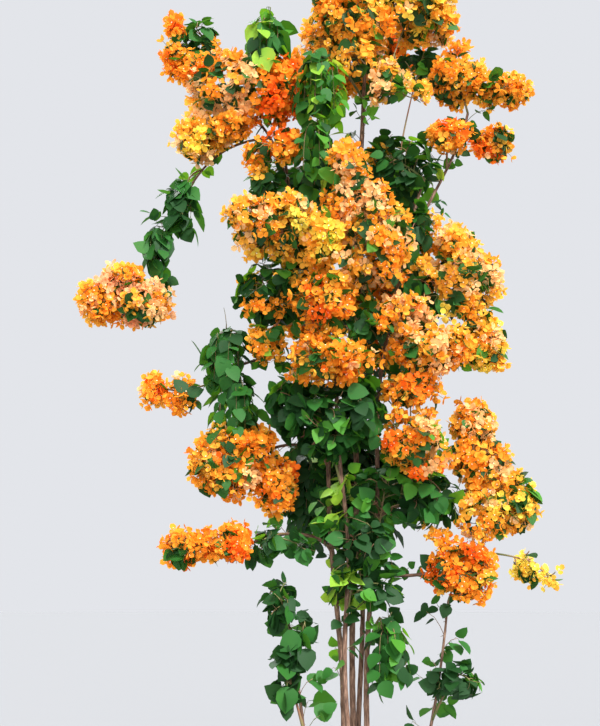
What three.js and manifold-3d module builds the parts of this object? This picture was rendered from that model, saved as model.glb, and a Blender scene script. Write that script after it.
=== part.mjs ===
// A bougainvillea bush trained upright: slender woody stems from one root crown, boughs that lean
// out to the sides, long shoots that weep, and masses of orange bracts and of leaves at their ends.
// Millimetres, Z up, ground at Z = 0. X runs to the right and Y away from the side seen first.
import * as THREE from "three";
import { mergeVertices } from "three/addons/utils/BufferGeometryUtils.js";
import Module from "manifold-3d";

const wasm = await Module();
wasm.setup();

// Clearances
const JOINT_GAP = 0.3; // between a limb and what it grows on
const LEAF_CLEARANCE = 2.5; // between a leaf and any limb but its own
const FINEST_EDGE = 0.05; // no edge of a fused mass is shorter
const FINEST_FACE = 0.01; // and no face of it narrower
const OWN_SPACE = 1.2; // how far out a leaf's corners may lie, as a share of its tuft's half width
const DEEP = 0.75; // no leaf's tip goes deeper than this into another tuft of its mass
const WELL_INSIDE = 0.9; // twigs leave their tuft's stem this far in
const ROOT_VOLUME = 30; // cubic millimetres that a twig's root may have inside its stem

// The root crown: a woody stump that the stems rise from
const CROWN_HEIGHT = 235;
const CROWN_FLARE = 95; // radius at the ground
const CROWN_WAIST = 60;
const CROWN_SHOULDER = 68;
const CROWN_RIBS = 5;
const CROWN_RIB_DEPTH = 0.16;
const STEM_FOOT_Z = 150; // the stems start inside the crown at this height

// Stems sway about their line as they climb
const STEM_SWAY = 13;
const STEM_SWAY_TURNS = 2.3;

// Leaves and blossoms of three bracts, larger than life because there are few
const LEAF_LENGTH = 155;
const LEAF_WIDTH = 112;
const LEAF_WIDEST = 0.42; // where along the blade it is widest, as a share
const LEAF_RIDGE = 0.09; // a blade's height at its midrib, as a share of its length
const BRACT_REACH = 84; // from the middle of a blossom to a bract's tip
const BRACT_NOTCH = 0.6; // how far out the notch between two bracts lies, as a share
const BRACT_CUP = 0.36; // how far the bracts' tips rise, as a share of their reach
const USUAL_TUFT = 130; // a tuft of this half width has leaves of full size
const SIZE_LIMITS = [0.72, 1.5]; // how much smaller or larger the leaves of another tuft get
const SIZE_TRIES = [1.3, 1.15, 1, 0.88, 0.78, 0.68]; // a leaf that doesn't fit is tried smaller
const BLOSSOM_PATCH = 29000; // square millimetres of a tuft's surface for each blossom
const LEAF_PATCH = 21000; // and for each leaf
const FEWEST_TIPS = 4;

// Twigs, and the stem that carries a tuft's twigs
const TWIG_RADIUS = 2.2;
const TWIG_SUNK = 1.8; // how deep a twig's root lies beneath the face of the stem it grows on
const COLLAR_OUT = 4.2; // the twig is full from here on, measured from its root
const TWIG_LEAN = 0.5; // cosine of the widest angle at which a twig leaves its face
const SMALLEST_FACE = 40; // square millimetres that a face needs to carry a twig
const TUFT_STEM_RADII = [5.6, 3.6];
const NEXT_STEM_RADII = [3.4, 3.4]; // of the stem of a tuft that grows on another one's
const NEXT_TUFT_AT = [0.7, 0.64, 0.76, 0.58, 0.82, 0.52]; // where it leaves that stem, tried in turn
const STEM_SHIFTS = [0, -0.01, -0.02, -0.03]; // the same for a first stem, from its mass's share
const TIPS_PER_STEP = 3; // a stem gets a step more for each so many tips
const STEM_RISES = [0.12, 0.2, 0.05, 0.3, -0.06, 0.42, -0.15]; // tried in turn, as shares of the way
const GOLDEN_ANGLE = Math.PI * (3 - Math.sqrt(5));
const WEEPING = { weeping: true };

// The limbs in the order they grow. Each runs from its foot by two bends to its tip, and tapers
// from its first radius to its second.
const LIMBS = [
  stem("stem_centre", [2, 2],
    [[30, 10, 1100], [-30, 20, 2200], [95, 20, 3225]], [11.5, 5.5]),
  stem("stem_left", [-38, -6],
    [[-10, -20, 1150], [-120, -70, 1950], [-285, -120, 2830]], [10.5, 5]),
  stem("stem_right", [39, -6],
    [[80, -10, 900], [40, -50, 1800], [275, -60, 2490]], [10.5, 5.5]),
  stem("stem_back", [16, 38],
    [[50, 60, 950], [20, 150, 1900], [75, 165, 2900]], [10, 5]),
  stem("stem_front", [-12, -38],
    [[-10, -60, 800], [-30, -120, 1500], [-70, -235, 2105]], [10, 5.5]),
  shoot("shoot_left", [-34, -26],
    [[-190, -40, 330], [-150, -30, 650], [-245, -60, 1010]], [8, 3.5]),
  shoot("shoot_right", [32, -30],
    [[230, -60, 230], [290, -50, 600], [325, -140, 972]], [8, 3.5]),
  bough("left_low", "stem_left", 0.37,
    [[-130, 10, 1230], [-290, 0, 1210], [-378, -95, 1152]], [6.5, 4]),
  bough("left_mid", "stem_left", 0.48,
    [[-120, -40, 1530], [-230, -60, 1530], [-310, -120, 1478]], [6.5, 4.5]),
  bough("left_upper", "stem_left", 0.59,
    [[-190, -10, 1900], [-400, 0, 1830], [-512, -92, 1722]], [6.5, 4]),
  bough("upper_left", "stem_left", 0.84,
    [[-250, -60, 2600], [-300, -90, 2680], [-352, -125, 2702]], [6, 4.5]),
  bough("trailing", "bough_upper_left", 0.715,
    [[-560, 20, 2660], [-600, -130, 2400], [-698, -150, 2126]], [5, 3]),
  bough("right_upper", "stem_right", 0.89,
    [[330, -20, 2480], [410, -60, 2600], [436, -105, 2728]], [6, 4.5]),
  bough("right_mid", "stem_right", 0.67,
    [[220, -30, 1760], [350, -50, 1820], [398, -115, 1908]], [6.5, 4.5]),
  bough("right_low", "stem_right", 0.47,
    [[170, -40, 1330], [350, -50, 1320], [428, -95, 1362]], [6.5, 4.5]),
  bough("right_bottom", "stem_right", 0.39,
    [[160, -20, 1050], [340, -10, 1040], [452, -70, 1160]], [6.5, 4.5]),
];

// What each limb carries: a mass's name, the share of the limb's length where it leaves, and its
// tufts, each with the middle and the half widths of its space. The first tuft of a mass grows on
// the limb and each next one on the stem of the tuft before it.
const CARRIED = {
  stem_centre: [
    blossom("crest", 1, [tuft([100, 0, 3400], [230, 200, 150])]),
    blossom("top_left", 0.91, [
      tuft([-14, -203, 3042], [155, 130, 155]),
      tuft([25, -240, 2875], [65, 80, 55]),
    ]),
    blossom("top_right", 0.95, [
      tuft([255, -150, 3110], [160, 150, 145]),
      tuft([140, -200, 2840], [70, 75, 60]),
      tuft([185, -210, 2765], [110, 70, 45]),
    ]),
    foliage(
      "hanging",
      0.87,
      [tuft([-115, -260, 2800], [80, 85, 180]), tuft([-125, -260, 2545], [65, 80, 135])],
      WEEPING,
    ),
  ],
  stem_left: [
    blossom("left_tip", 0.975, [
      leafTuft([-540, -115, 3015], [75, 80, 90]),
      tuft([-640, -130, 3000], [45, 70, 90]),
      tuft([-570, -120, 2895], [105, 80, 55]),
    ]),
    blossom("upper_deep", 0.92, [tuft([-260, -200, 2785], [95, 110, 120])]),
    foliage("top_left", 1, [tuft([-300, -200, 3010], [60, 85, 140])], WEEPING),
    blossom("upper_inner", 0.8, [
      tuft([-270, -190, 2555], [110, 110, 80]),
      leafTuft([-295, -170, 2435], [85, 90, 60]),
    ]),
    foliage("left_mid", 0.65, [
      tuft([-290, -170, 2040], [125, 120, 125]),
      tuft([-135, -190, 2100], [100, 110, 70]),
      tuft([-285, -190, 1855], [95, 90, 75]),
    ]),
  ],
  stem_right: [
    foliage("upper_right", 1, [
      tuft([195, -80, 2540], [155, 130, 140]),
      tuft([270, -60, 2940], [105, 110, 80]),
    ]),
    foliage("right_mid", 0.82, [
      tuft([230, -140, 2285], [80, 110, 120]),
      tuft([260, -130, 2035], [90, 110, 105]),
    ]),
    foliage("column_upper", 0.36, [
      tuft([115, -90, 1345], [170, 130, 120]),
      tuft([290, -80, 1320], [110, 110, 125]),
    ]),
    foliage("column_bottom", 0.27, [tuft([125, -70, 840], [60, 80, 165])], WEEPING),
  ],
  stem_back: [
    blossom("back_top", 1, [
      tuft([110, 190, 3090], [200, 150, 200]),
      tuft([-140, 170, 2950], [120, 120, 130]),
    ]),
    blossom("back_mid", 0.68, [
      tuft([130, 200, 2040], [230, 160, 230]),
      tuft([-190, 180, 2080], [120, 120, 150]),
    ]),
    foliage("back_upper", 0.83, [
      tuft([-130, 180, 2500], [250, 160, 230]),
      tuft([200, 170, 2550], [120, 120, 160]),
    ]),
    foliage("back_low", 0.44, [
      tuft([-50, 190, 1430], [240, 160, 260]),
      tuft([235, 170, 1480], [110, 110, 150]),
    ]),
  ],
  stem_front: [
    blossom("centre_left", 1, [
      tuft([-275, -330, 2250], [155, 140, 125]),
      tuft([-105, -340, 2175], [90, 120, 85]),
    ]),
    blossom("centre_right", 0.95, [
      tuft([70, -330, 2175], [135, 140, 170]),
      tuft([0, -310, 2370], [90, 120, 110]),
      tuft([-20, -290, 2495], [75, 90, 55]),
    ]),
    blossom("mid", 0.8, [
      tuft([-70, -320, 1775], [140, 120, 80]),
      leafTuft([55, -250, 1905], [95, 105, 65]),
      tuft([-100, -330, 1980], [110, 120, 80]),
    ]),
    foliage("core", 0.6, [
      tuft([-105, -180, 1585], [130, 160, 160]),
      tuft([-230, -180, 1655], [85, 110, 90]),
      tuft([35, -170, 1630], [95, 140, 145]),
    ]),
    foliage("column_lower", 0.36, [
      tuft([30, -100, 1185], [140, 130, 120]),
      tuft([35, -90, 1000], [140, 110, 90]),
    ]),
  ],
  bough_upper_left: [blossom("upper_left", 1, [tuft([-445, -170, 2805], [135, 135, 125])])],
  bough_trailing: [
    blossom("upper_left_low", 0.32, [
      tuft([-555, -150, 2615], [85, 95, 90]),
      tuft([-430, -150, 2650], [65, 85, 60]),
    ]),
    blossom("trailing", 1, [
      tuft([-730, -150, 2005], [100, 120, 90]),
      tuft([-815, -130, 2100], [70, 80, 45]),
      tuft([-895, -150, 2010], [70, 95, 70]),
    ]),
    foliage(
      "trailing",
      0.4,
      [tuft([-600, -150, 2385], [75, 80, 110]), tuft([-680, -150, 2230], [65, 75, 115])],
      WEEPING,
    ),
  ],
  bough_left_upper: [
    blossom("left_small", 1, [
      tuft([-585, -120, 1685], [75, 90, 70]),
      tuft([-690, -120, 1700], [40, 70, 55]),
    ]),
    foliage(
      "left_trail",
      0.55,
      [tuft([-455, -150, 1850], [60, 85, 135]), tuft([-395, -150, 1655], [75, 85, 120])],
      WEEPING,
    ),
  ],
  bough_left_mid: [
    blossom("left_big", 1, [
      tuft([-250, -100, 1360], [70, 90, 95]),
      tuft([-325, -140, 1500], [60, 95, 70]),
      tuft([-440, -150, 1445], [135, 130, 130]),
    ]),
  ],
  bough_left_low: [
    blossom("left_low", 1, [
      tuft([-425, -130, 1170], [85, 95, 70]),
      tuft([-585, -130, 1150], [80, 95, 75]),
    ]),
    foliage("left_low", 0.5, [
      tuft([-285, -110, 1185], [75, 80, 75]),
      tuft([-160, -100, 1150], [50, 70, 60]),
    ]),
  ],
  bough_right_upper: [
    blossom("right_upper", 1, [
      tuft([400, -120, 2845], [110, 120, 100]),
      tuft([585, -120, 2810], [90, 85, 60]),
    ]),
    blossom("right_drop", 0.6, [
      tuft([355, -150, 2625], [80, 80, 60]),
      tuft([530, -100, 2615], [80, 90, 75]),
    ]),
  ],
  bough_right_mid: [
    blossom("right_tall", 1, [
      tuft([475, -150, 1855], [85, 95, 95]),
      tuft([400, -130, 2080], [130, 130, 140]),
      tuft([370, -130, 2235], [60, 80, 65]),
    ]),
    blossom("right_mid", 0.5, [
      tuft([270, -200, 1830], [140, 120, 90]),
      tuft([190, -215, 1965], [95, 85, 55]),
    ]),
  ],
  bough_right_low: [
    blossom("right_outer", 1, [
      tuft([445, -100, 1455], [110, 110, 100]),
      tuft([425, -110, 1600], [75, 90, 75]),
    ]),
    blossom("right_inner", 0.25, [
      tuft([210, -230, 1505], [120, 110, 100]),
      tuft([200, -220, 1685], [110, 85, 60]),
    ]),
  ],
  bough_right_bottom: [
    blossom("right_bottom", 1, [
      tuft([500, -100, 1280], [135, 110, 95]),
      tuft([580, -110, 1345], [65, 80, 75]),
    ]),
    blossom("tail", 0.9, [tuft([610, -80, 1105], [65, 75, 75]), tuft([690, -80, 1050], [40, 55, 40])]),
  ],
  shoot_left: [
    foliage("left_hook", 0.85, [tuft([-245, -125, 965], [70, 80, 120])]),
    foliage("left_bottom", 0.45, [
      tuft([-225, -95, 720], [70, 85, 135]),
      tuft([-165, -100, 880], [55, 70, 70]),
    ]),
  ],
  shoot_right: [
    blossom("lower_right", 1, [tuft([365, -150, 1070], [135, 115, 105])]),
    foliage("right_bottom", 0.55, [tuft([335, -140, 710], [120, 95, 75])]),
  ],
};

const BARK = new THREE.MeshStandardMaterial({ color: 0x7d6650, roughness: 0.85, metalness: 0 });
const BRACT = new THREE.MeshStandardMaterial({ color: 0xf58a24, roughness: 0.6, metalness: 0 });
const LEAF = new THREE.MeshStandardMaterial({ color: 0x2c6a2b, roughness: 0.5, metalness: 0 });

function stem(name, foot, line, thick) {
  return { name, foot, line, thick, sides: 6, steps: 10, sway: STEM_SWAY };
}

function shoot(name, foot, line, thick) {
  return { name, foot, line, thick, sides: 5, steps: 7, sway: 0 };
}

function bough(name, parent, at, line, thick) {
  return { name: "bough_" + name, parent, at, line, thick, sides: 5, steps: 5, sway: 0 };
}

function blossom(name, at, tufts, habit = {}) {
  return { node: "blossom_" + name, blooms: true, at, tufts, ...habit };
}

function foliage(name, at, tufts, habit = {}) {
  return { node: "foliage_" + name, blooms: false, at, tufts, ...habit };
}

function tuft(middle, half) {
  return { middle, half, leafy: false };
}

// A tuft of leaves in a mass of blossom
function leafTuft(middle, half) {
  return { middle, half, leafy: true };
}

// Geometry to solid and back

function solidFrom(geometry) {
  const bare = geometry.clone();
  bare.deleteAttribute("normal");
  bare.deleteAttribute("uv");
  const merged = mergeVertices(bare, 1e-3);
  const vertProperties = merged.attributes.position.array;
  const triVerts = new Uint32Array(merged.index.array);
  return new wasm.Manifold(new wasm.Mesh({ numProp: 3, vertProperties, triVerts }));
}

function geometryFrom(solid) {
  const mesh = solid.getMesh();
  const geometry = new THREE.BufferGeometry();
  geometry.setAttribute("position", new THREE.BufferAttribute(mesh.vertProperties, 3));
  geometry.setIndex(new THREE.BufferAttribute(mesh.triVerts, 1));
  geometry.computeVertexNormals();
  return geometry;
}

function eachVertex(geometry, move) {
  const position = geometry.attributes.position;
  const point = new THREE.Vector3();
  for (let i = 0; i < position.count; i++) {
    point.fromBufferAttribute(position, i);
    move(point, i);
    position.setXYZ(i, point.x, point.y, point.z);
  }
  return geometry;
}

function largest(solid) {
  const bodies = solid.decompose();
  return bodies.reduce((best, body) => (body.volume() > best.volume() ? body : best));
}

// Whether a solid has no edge and no face that is too fine
function isSound(solid) {
  const { vertProperties, triVerts } = solid.getMesh();
  const corner = (k) => new THREE.Vector3().fromArray(vertProperties, 3 * triVerts[k]);
  for (let k = 0; k < triVerts.length; k += 3) {
    const [a, b, c] = [corner(k), corner(k + 1), corner(k + 2)];
    const edges = [a.distanceTo(b), b.distanceTo(c), c.distanceTo(a)];
    const width = (2 * new THREE.Triangle(a, b, c).getArea()) / Math.max(...edges);
    if (Math.min(...edges) < FINEST_EDGE || width < FINEST_FACE) return false;
  }
  return true;
}

// A repeatable stream of numbers from 0 to 1
function seeded(seed) {
  let state = (seed * 2654435761) >>> 0;
  return () => {
    state = (Math.imul(state, 1664525) + 1013904223) >>> 0;
    return state / 4294967296;
  };
}

// Limbs

class LimbCurve extends THREE.Curve {
  constructor(foot, line, sway) {
    super();
    this.path = new THREE.CubicBezierCurve3(foot, ...line.map((p) => new THREE.Vector3(...p)));
    this.sway = sway;
  }

  getPoint(t, target = new THREE.Vector3()) {
    this.path.getPoint(t, target);
    const amount = this.sway * Math.sin(Math.PI * t);
    const turn = STEM_SWAY_TURNS * 2 * Math.PI * t;
    target.x += amount * Math.sin(turn + this.path.v0.x);
    target.y += amount * 0.5 * Math.cos(turn + this.path.v0.y);
    return target;
  }
}

// A closed cylinder bent along a curve, from one radius to the other. grow makes it larger all over.
function taperedTube(curve, thick, sides, steps, grow = 0) {
  const frames = curve.computeFrenetFrames(steps, false);
  const tube = new THREE.CylinderGeometry(1, 1, 1, sides, steps);
  return eachVertex(tube, (v) => {
    const share = v.y + 0.5;
    const ring = Math.round(share * steps);
    const radius = THREE.MathUtils.lerp(thick[0], thick[1], share) + grow;
    const middle = curve.getPointAt(ring / steps);
    if (ring === 0) middle.addScaledVector(frames.tangents[0], -grow);
    if (ring === steps) middle.addScaledVector(frames.tangents[steps], grow);
    const { x, z } = v;
    v.copy(middle)
      .addScaledVector(frames.normals[ring], x * radius)
      .addScaledVector(frames.binormals[ring], -z * radius);
  });
}

// The stump, flared and ribbed towards the ground and flat beneath
function crownGeometry(grow = 0) {
  const outline = [
    [0, -grow],
    [CROWN_FLARE + grow, -grow],
    [CROWN_FLARE * 0.78 + grow, CROWN_HEIGHT * 0.12],
    [CROWN_WAIST + grow, CROWN_HEIGHT * 0.4],
    [CROWN_SHOULDER + grow, CROWN_HEIGHT * 0.78],
    [CROWN_SHOULDER * 0.78 + grow, CROWN_HEIGHT * 0.95],
    [0, CROWN_HEIGHT + grow],
  ].map(([radius, height]) => new THREE.Vector2(radius, height));
  const stump = new THREE.LatheGeometry(outline, 18);
  stump.rotateX(Math.PI / 2);
  return eachVertex(stump, (v) => {
    const nearGround = 1 - THREE.MathUtils.clamp(v.z / CROWN_HEIGHT, 0, 1);
    const rib = 1 + CROWN_RIB_DEPTH * nearGround * Math.cos(CROWN_RIBS * Math.atan2(v.y, v.x) + 0.6);
    v.x *= rib;
    v.y *= rib;
  });
}

// Each limb is cut by what it grows on, so it ends in a saddle that stays clear by the joint gap
function makeLimb({ name, foot, parent, at, line, thick, sides, steps, sway }) {
  const start = parent
    ? limbs.get(parent).curve.getPointAt(at)
    : new THREE.Vector3(...foot, STEM_FOOT_Z);
  const curve = new LimbCurve(start, line, sway);
  const [body, grown, wide] = [0, JOINT_GAP, LEAF_CLEARANCE].map((grow) =>
    solidFrom(taperedTube(curve, thick, sides, steps, grow)),
  );
  const cutter = parent ? limbs.get(parent).grown : grownCrown;
  limbs.set(name, { curve, thick, grown, wide, solid: largest(body.subtract(cutter)) });
}

// Leaves and blossoms, each one closed body with its twig

// A closed body drawn on the net of a ball: shape gives the point for a row and a column
function closedBody(columns, rows, shape) {
  return eachVertex(new THREE.SphereGeometry(1, columns, rows), (v, i) => {
    const row = Math.floor(i / (columns + 1));
    v.copy(shape(row, (i % (columns + 1)) % columns));
  });
}

// A point on a ring about a line: across and deep are the ring's two half widths
function onRing(middle, along, up, angle, across, deep = across) {
  const side = new THREE.Vector3().crossVectors(along, up).normalize();
  const normal = new THREE.Vector3().crossVectors(side, along);
  return middle
    .clone()
    .addScaledVector(normal, -Math.cos(angle) * deep)
    .addScaledVector(side, Math.sin(angle) * across);
}

// A leaf: a three-sided twig from root to foot, then an ovate blade with a raised midrib
function leafOnTwig(root, foot, along, up, length) {
  const growing = foot.clone().sub(root).normalize();
  const collar = root.clone().addScaledVector(growing, COLLAR_OUT);
  const widest = foot.clone().addScaledVector(along, length * LEAF_WIDEST);
  const halfWidth = ((LEAF_WIDTH / LEAF_LENGTH) * length) / 2 / Math.sin(Math.PI / 3);
  const under = up.clone().negate();
  const rings = [
    () => root,
    (angle) => onRing(collar, growing, under, angle, TWIG_RADIUS),
    (angle) => onRing(foot, growing, under, angle, TWIG_RADIUS),
    (angle) => onRing(widest, along, under, angle, halfWidth, length * LEAF_RIDGE),
    () => foot.clone().addScaledVector(along, length),
  ];
  return closedBody(3, 4, (row, column) => rings[row]((column * 2 * Math.PI) / 3));
}

// A blossom: a three-sided twig that opens into three bracts, cupped round their middle
function blossomOnTwig(root, middle, facing, spin, reach) {
  const foot = middle.clone().addScaledVector(facing, -reach * 0.3);
  const growing = foot.clone().sub(root).normalize();
  const collar = root.clone().addScaledVector(growing, COLLAR_OUT);
  const rim = (angle, isTip) => {
    const level = middle.clone().addScaledVector(facing, isTip ? reach * BRACT_CUP : 0);
    return onRing(level, facing, spin, angle, isTip ? reach : reach * BRACT_NOTCH);
  };
  return closedBody(6, 4, (row, column) => {
    const twigAngle = Math.PI / 6 + (Math.floor(column / 2) * 2 * Math.PI) / 3;
    if (row === 0) return root;
    if (row === 1) return onRing(collar, growing, spin, twigAngle, TWIG_RADIUS);
    if (row === 2) return onRing(foot, facing, spin, twigAngle, TWIG_RADIUS);
    if (row === 3) return rim((column * Math.PI) / 3, column % 2 === 0);
    return middle;
  });
}

// Masses and their tufts

function distanceIn(tuft, point) {
  return point.clone().sub(tuft.centre).divide(tuft.radii).length();
}

// Whether a shape lies in its mass's tufts and nearer to one of them than to any other mass's
function inOwnSpace(mass, geometry) {
  const position = geometry.attributes.position;
  const point = new THREE.Vector3();
  for (let i = 0; i < position.count; i++) {
    point.fromBufferAttribute(position, i);
    const own = Math.min(...mass.grown.map((tuft) => distanceIn(tuft, point)));
    if (own > OWN_SPACE) return false;
    if (tufts.some((other) => other.mass !== mass && distanceIn(other, point) < own)) return false;
  }
  return true;
}

// A tuft's stem leaves its limb or the stem of the tuft before, rises by a share of the way and ends
// past the tuft's middle. A weeping mass's first stem goes over the top and comes down through it.
function tuftStemCurve({ mass, before, centre, radii }, at, riseShare) {
  const start = (before ?? limbs.get(mass.limb)).curve.getPointAt(at);
  const rise = centre.distanceTo(start) * riseShare;
  if (mass.weeping && !before) {
    const top = centre.clone().add(new THREE.Vector3(0, 0, radii.z * 0.75));
    const end = centre.clone().sub(new THREE.Vector3(0, 0, radii.z * 0.62));
    const over = start.clone().lerp(top, 0.6);
    over.z = Math.max(over.z, top.z) + rise * 0.4;
    return new THREE.CubicBezierCurve3(start, over, top, end);
  }
  const beyond = centre.clone().sub(start).normalize().multiply(radii).multiplyScalar(0.45);
  const over = start.clone().lerp(centre, 0.5);
  over.z += rise;
  return new THREE.QuadraticBezierCurve3(start, over, centre.clone().add(beyond));
}

// The rise is the first one with which the stem keeps clear of other limbs and masses' stems, and
// meets its own limb or stem soundly
function makeTuftStem(tuft) {
  const { mass, before } = tuft;
  const limb = limbs.get(mass.limb);
  const [footRadius, tipRadius] = TUFT_STEM_RADII;
  const limbRadius = THREE.MathUtils.lerp(...limb.thick, mass.at);
  const thick = before ? NEXT_STEM_RADII : [Math.min(footRadius, limbRadius), tipRadius];
  const steps = (before ? 1 : 2) + Math.round(tipCount(tuft) / TIPS_PER_STEP);
  const inTheWay = obstacles.filter((o) => o.mass !== mass && (before || o.limb !== limb));
  const shares = before ? NEXT_TUFT_AT : STEM_SHIFTS.map((shift) => mass.at + shift);
  const ways = STEM_RISES.flatMap((rise) => shares.map((at) => [at, rise]));
  for (const [at, rise] of ways) {
    const curve = tuftStemCurve(tuft, at, rise);
    const skin = taperedTube(curve, thick, 3, steps);
    const whole = solidFrom(skin);
    const stem = before ? whole : largest(whole.subtract(limb.grown));
    const piece = { solid: stem, box: stem.boundingBox() };
    if (inTheWay.some((obstacle) => meets(piece, obstacle))) continue;
    const fused = before ? wasm.Manifold.union(mass.fused, stem) : stem;
    if (!isSound(fused)) continue;
    mass.fused = fused;
    const wide = solidFrom(taperedTube(curve, thick, 3, steps, LEAF_CLEARANCE));
    obstacles.push({ mass, solid: wide, box: wide.boundingBox() });
    Object.assign(tuft, { curve, stem: piece, places: twigPlaces(tuft, skin) });
    return;
  }
  throw new Error("no clear way for a stem of " + mass.node);
}

// The faces of a tuft's stem, well inside the tuft, on which twigs can grow
function twigPlaces(tuft, skin) {
  const { index } = skin;
  const { position } = skin.attributes;
  const corner = (k) => new THREE.Vector3().fromBufferAttribute(position, index.getX(k));
  const places = [];
  for (let k = 0; k < index.count; k += 3) {
    const face = new THREE.Triangle(corner(k), corner(k + 1), corner(k + 2));
    const middle = face.getMidpoint(new THREE.Vector3());
    if (face.getArea() < SMALLEST_FACE || distanceIn(tuft, middle) > WELL_INSIDE) continue;
    places.push({ middle, normal: face.getNormal(new THREE.Vector3()) });
  }
  return places;
}

// About as many tips as patches of the surface, by Thomsen's formula for an ellipsoid's area
function tipCount({ radii, blooms }) {
  const [a, b, c] = radii.toArray().map((radius) => radius ** 1.6);
  const area = 4 * Math.PI * ((a * b + a * c + b * c) / 3) ** (1 / 1.6);
  return Math.max(FEWEST_TIPS, Math.round(area / (blooms ? BLOSSOM_PATCH : LEAF_PATCH)));
}

// Where a leaf's tip or a blossom goes: even over the ellipsoid by the golden angle, moved a little
function outerPoints(tuft, random) {
  const tips = tipCount(tuft);
  const points = Array.from({ length: tips }, (_, k) => {
    const height = 1 - (2 * (k + 0.5)) / tips + (random() - 0.5) * 0.1;
    const ring = Math.sqrt(Math.max(0, 1 - height * height));
    const turn = k * GOLDEN_ANGLE + tuft.index + (random() - 0.5) * 0.4;
    const out = new THREE.Vector3(ring * Math.cos(turn), ring * Math.sin(turn), height);
    const outer = out.clone().multiply(tuft.radii);
    const facing = out.clone().divide(tuft.radii).normalize();
    return { outer, surface: outer.clone().add(tuft.centre), facing };
  });
  const others = tuft.mass.grown.filter((other) => other !== tuft);
  return points.filter(({ surface }) => others.every((other) => distanceIn(other, surface) > DEEP));
}

// The free face of the stem that is nearest to a point and looks towards it
function takePlace(tuft, point) {
  const towards = ({ middle, normal }) => point.clone().sub(middle).normalize().dot(normal);
  const gap = ({ middle }) => middle.distanceTo(point);
  const open = tuft.places.filter((place) => !place.taken && towards(place) > TWIG_LEAN);
  if (open.length === 0) return null;
  return open.reduce((best, place) => (gap(place) < gap(best) ? place : best));
}

function shapeAt(tuft, { outer, surface, facing }, root, size, random) {
  if (tuft.blooms) {
    const reach = BRACT_REACH * size;
    const sunk = (reach * reach) / (2 * outer.length()) + reach * 0.16;
    const spin = new THREE.Vector3(random() - 0.5, random() - 0.5, random() - 0.5);
    return blossomOnTwig(root, surface.clone().addScaledVector(facing, -sunk), facing, spin, reach);
  }
  const length = LEAF_LENGTH * size;
  const along = facing.clone().multiplyScalar(0.6);
  along.x += (random() - 0.5) * 1.1;
  along.y += (random() - 0.5) * 1.1;
  along.z -= (tuft.mass.weeping ? 1.6 : 0.5) * (0.6 + 0.6 * random());
  along.normalize();
  const up = facing.clone().add(new THREE.Vector3(0, 0, 0.6));
  return leafOnTwig(root, surface.clone().addScaledVector(along, -length), along, up, length);
}

function boxesMeet(a, b) {
  return [0, 1, 2].every((i) => a.min[i] <= b.max[i] && b.min[i] <= a.max[i]);
}

function meets(piece, other) {
  return boxesMeet(piece.box, other.box) && !piece.solid.intersect(other.solid).isEmpty();
}

// A piece stays clear of limbs, of other masses' stems and of every piece already grown, and meets
// its own mass's stems at its root only
function isClear(tuft, piece) {
  if (obstacles.some((o) => o.mass !== tuft.mass && meets(piece, o))) return false;
  if (tufts.some((other) => other.pieces.some((p) => meets(piece, p)))) return false;
  if (tuft.mass.grown.some((other) => other !== tuft && meets(piece, other.stem))) return false;
  return piece.solid.intersect(tuft.stem.solid).volume() < ROOT_VOLUME;
}

function growTuft(tuft) {
  const random = seeded(tuft.index + 11);
  const halfWidth = Math.cbrt(tuft.radii.x * tuft.radii.y * tuft.radii.z);
  const fullSize = THREE.MathUtils.clamp(halfWidth / USUAL_TUFT, ...SIZE_LIMITS);
  for (const point of outerPoints(tuft, random)) {
    const place = takePlace(tuft, point.surface);
    if (!place) continue;
    const root = place.middle.clone().addScaledVector(place.normal, -TWIG_SUNK);
    for (const smaller of SIZE_TRIES) {
      const size = fullSize * smaller * (0.9 + 0.2 * random());
      const geometry = shapeAt(tuft, point, root, size, random);
      if (!inOwnSpace(tuft.mass, geometry)) continue;
      const solid = solidFrom(geometry);
      const piece = { solid, box: solid.boundingBox() };
      if (!isClear(tuft, piece)) continue;
      const fused = wasm.Manifold.union(tuft.mass.fused, solid);
      if (!isSound(fused)) continue;
      tuft.mass.fused = fused;
      tuft.pieces.push(piece);
      place.taken = true;
      break;
    }
  }
}

// The plant

const crown = solidFrom(crownGeometry());
const grownCrown = solidFrom(crownGeometry(JOINT_GAP));
const limbs = new Map();
LIMBS.forEach(makeLimb);

const masses = Object.entries(CARRIED).flatMap(([limb, carried]) =>
  carried.map((mass) => ({ ...mass, limb, grown: [] })),
);
for (const mass of masses) {
  for (const { middle, half, leafy } of mass.tufts) {
    const centre = new THREE.Vector3(...middle);
    const radii = new THREE.Vector3(...half);
    const blooms = mass.blooms && !leafy;
    mass.grown.push({ mass, blooms, centre, radii, before: mass.grown.at(-1), pieces: [] });
  }
}
const tufts = masses.flatMap((mass) => mass.grown);
tufts.forEach((tuft, index) => Object.assign(tuft, { index }));

// What leaves and stems keep clear of; the tufts' stems join it as they are made
const obstacles = [
  { solid: grownCrown },
  ...[...limbs.values()].map((limb) => ({ limb, solid: limb.wide })),
].map((obstacle) => ({ ...obstacle, box: obstacle.solid.boundingBox() }));
tufts.forEach(makeTuftStem);
tufts.forEach(growTuft);

const bush = new THREE.Group();

function addNode(name, solid, material) {
  const mesh = new THREE.Mesh(geometryFrom(solid), material);
  mesh.name = name;
  bush.add(mesh);
}

addNode("root_crown", crown, BARK);
limbs.forEach(({ solid }, name) => addNode(name, solid, BARK));
for (const { node, fused, blooms } of masses) addNode(node, largest(fused), blooms ? BRACT : LEAF);

export default bush;
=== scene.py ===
# %% [markdown]
# # A bougainvillea bush in bloom
# The real plant is a climber trained upright: a few woody stems rise from one root crown, lean apart
# and carry boughs, and at the ends of these hang dense heads of papery orange bracts among dark
# green leaves. It could be modelled leaf by leaf by hand, but there are thousands of them. So this
# lesson grows it by a rule, from the limbs outwards, and joins all leaves of a colour in one mesh.

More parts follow.
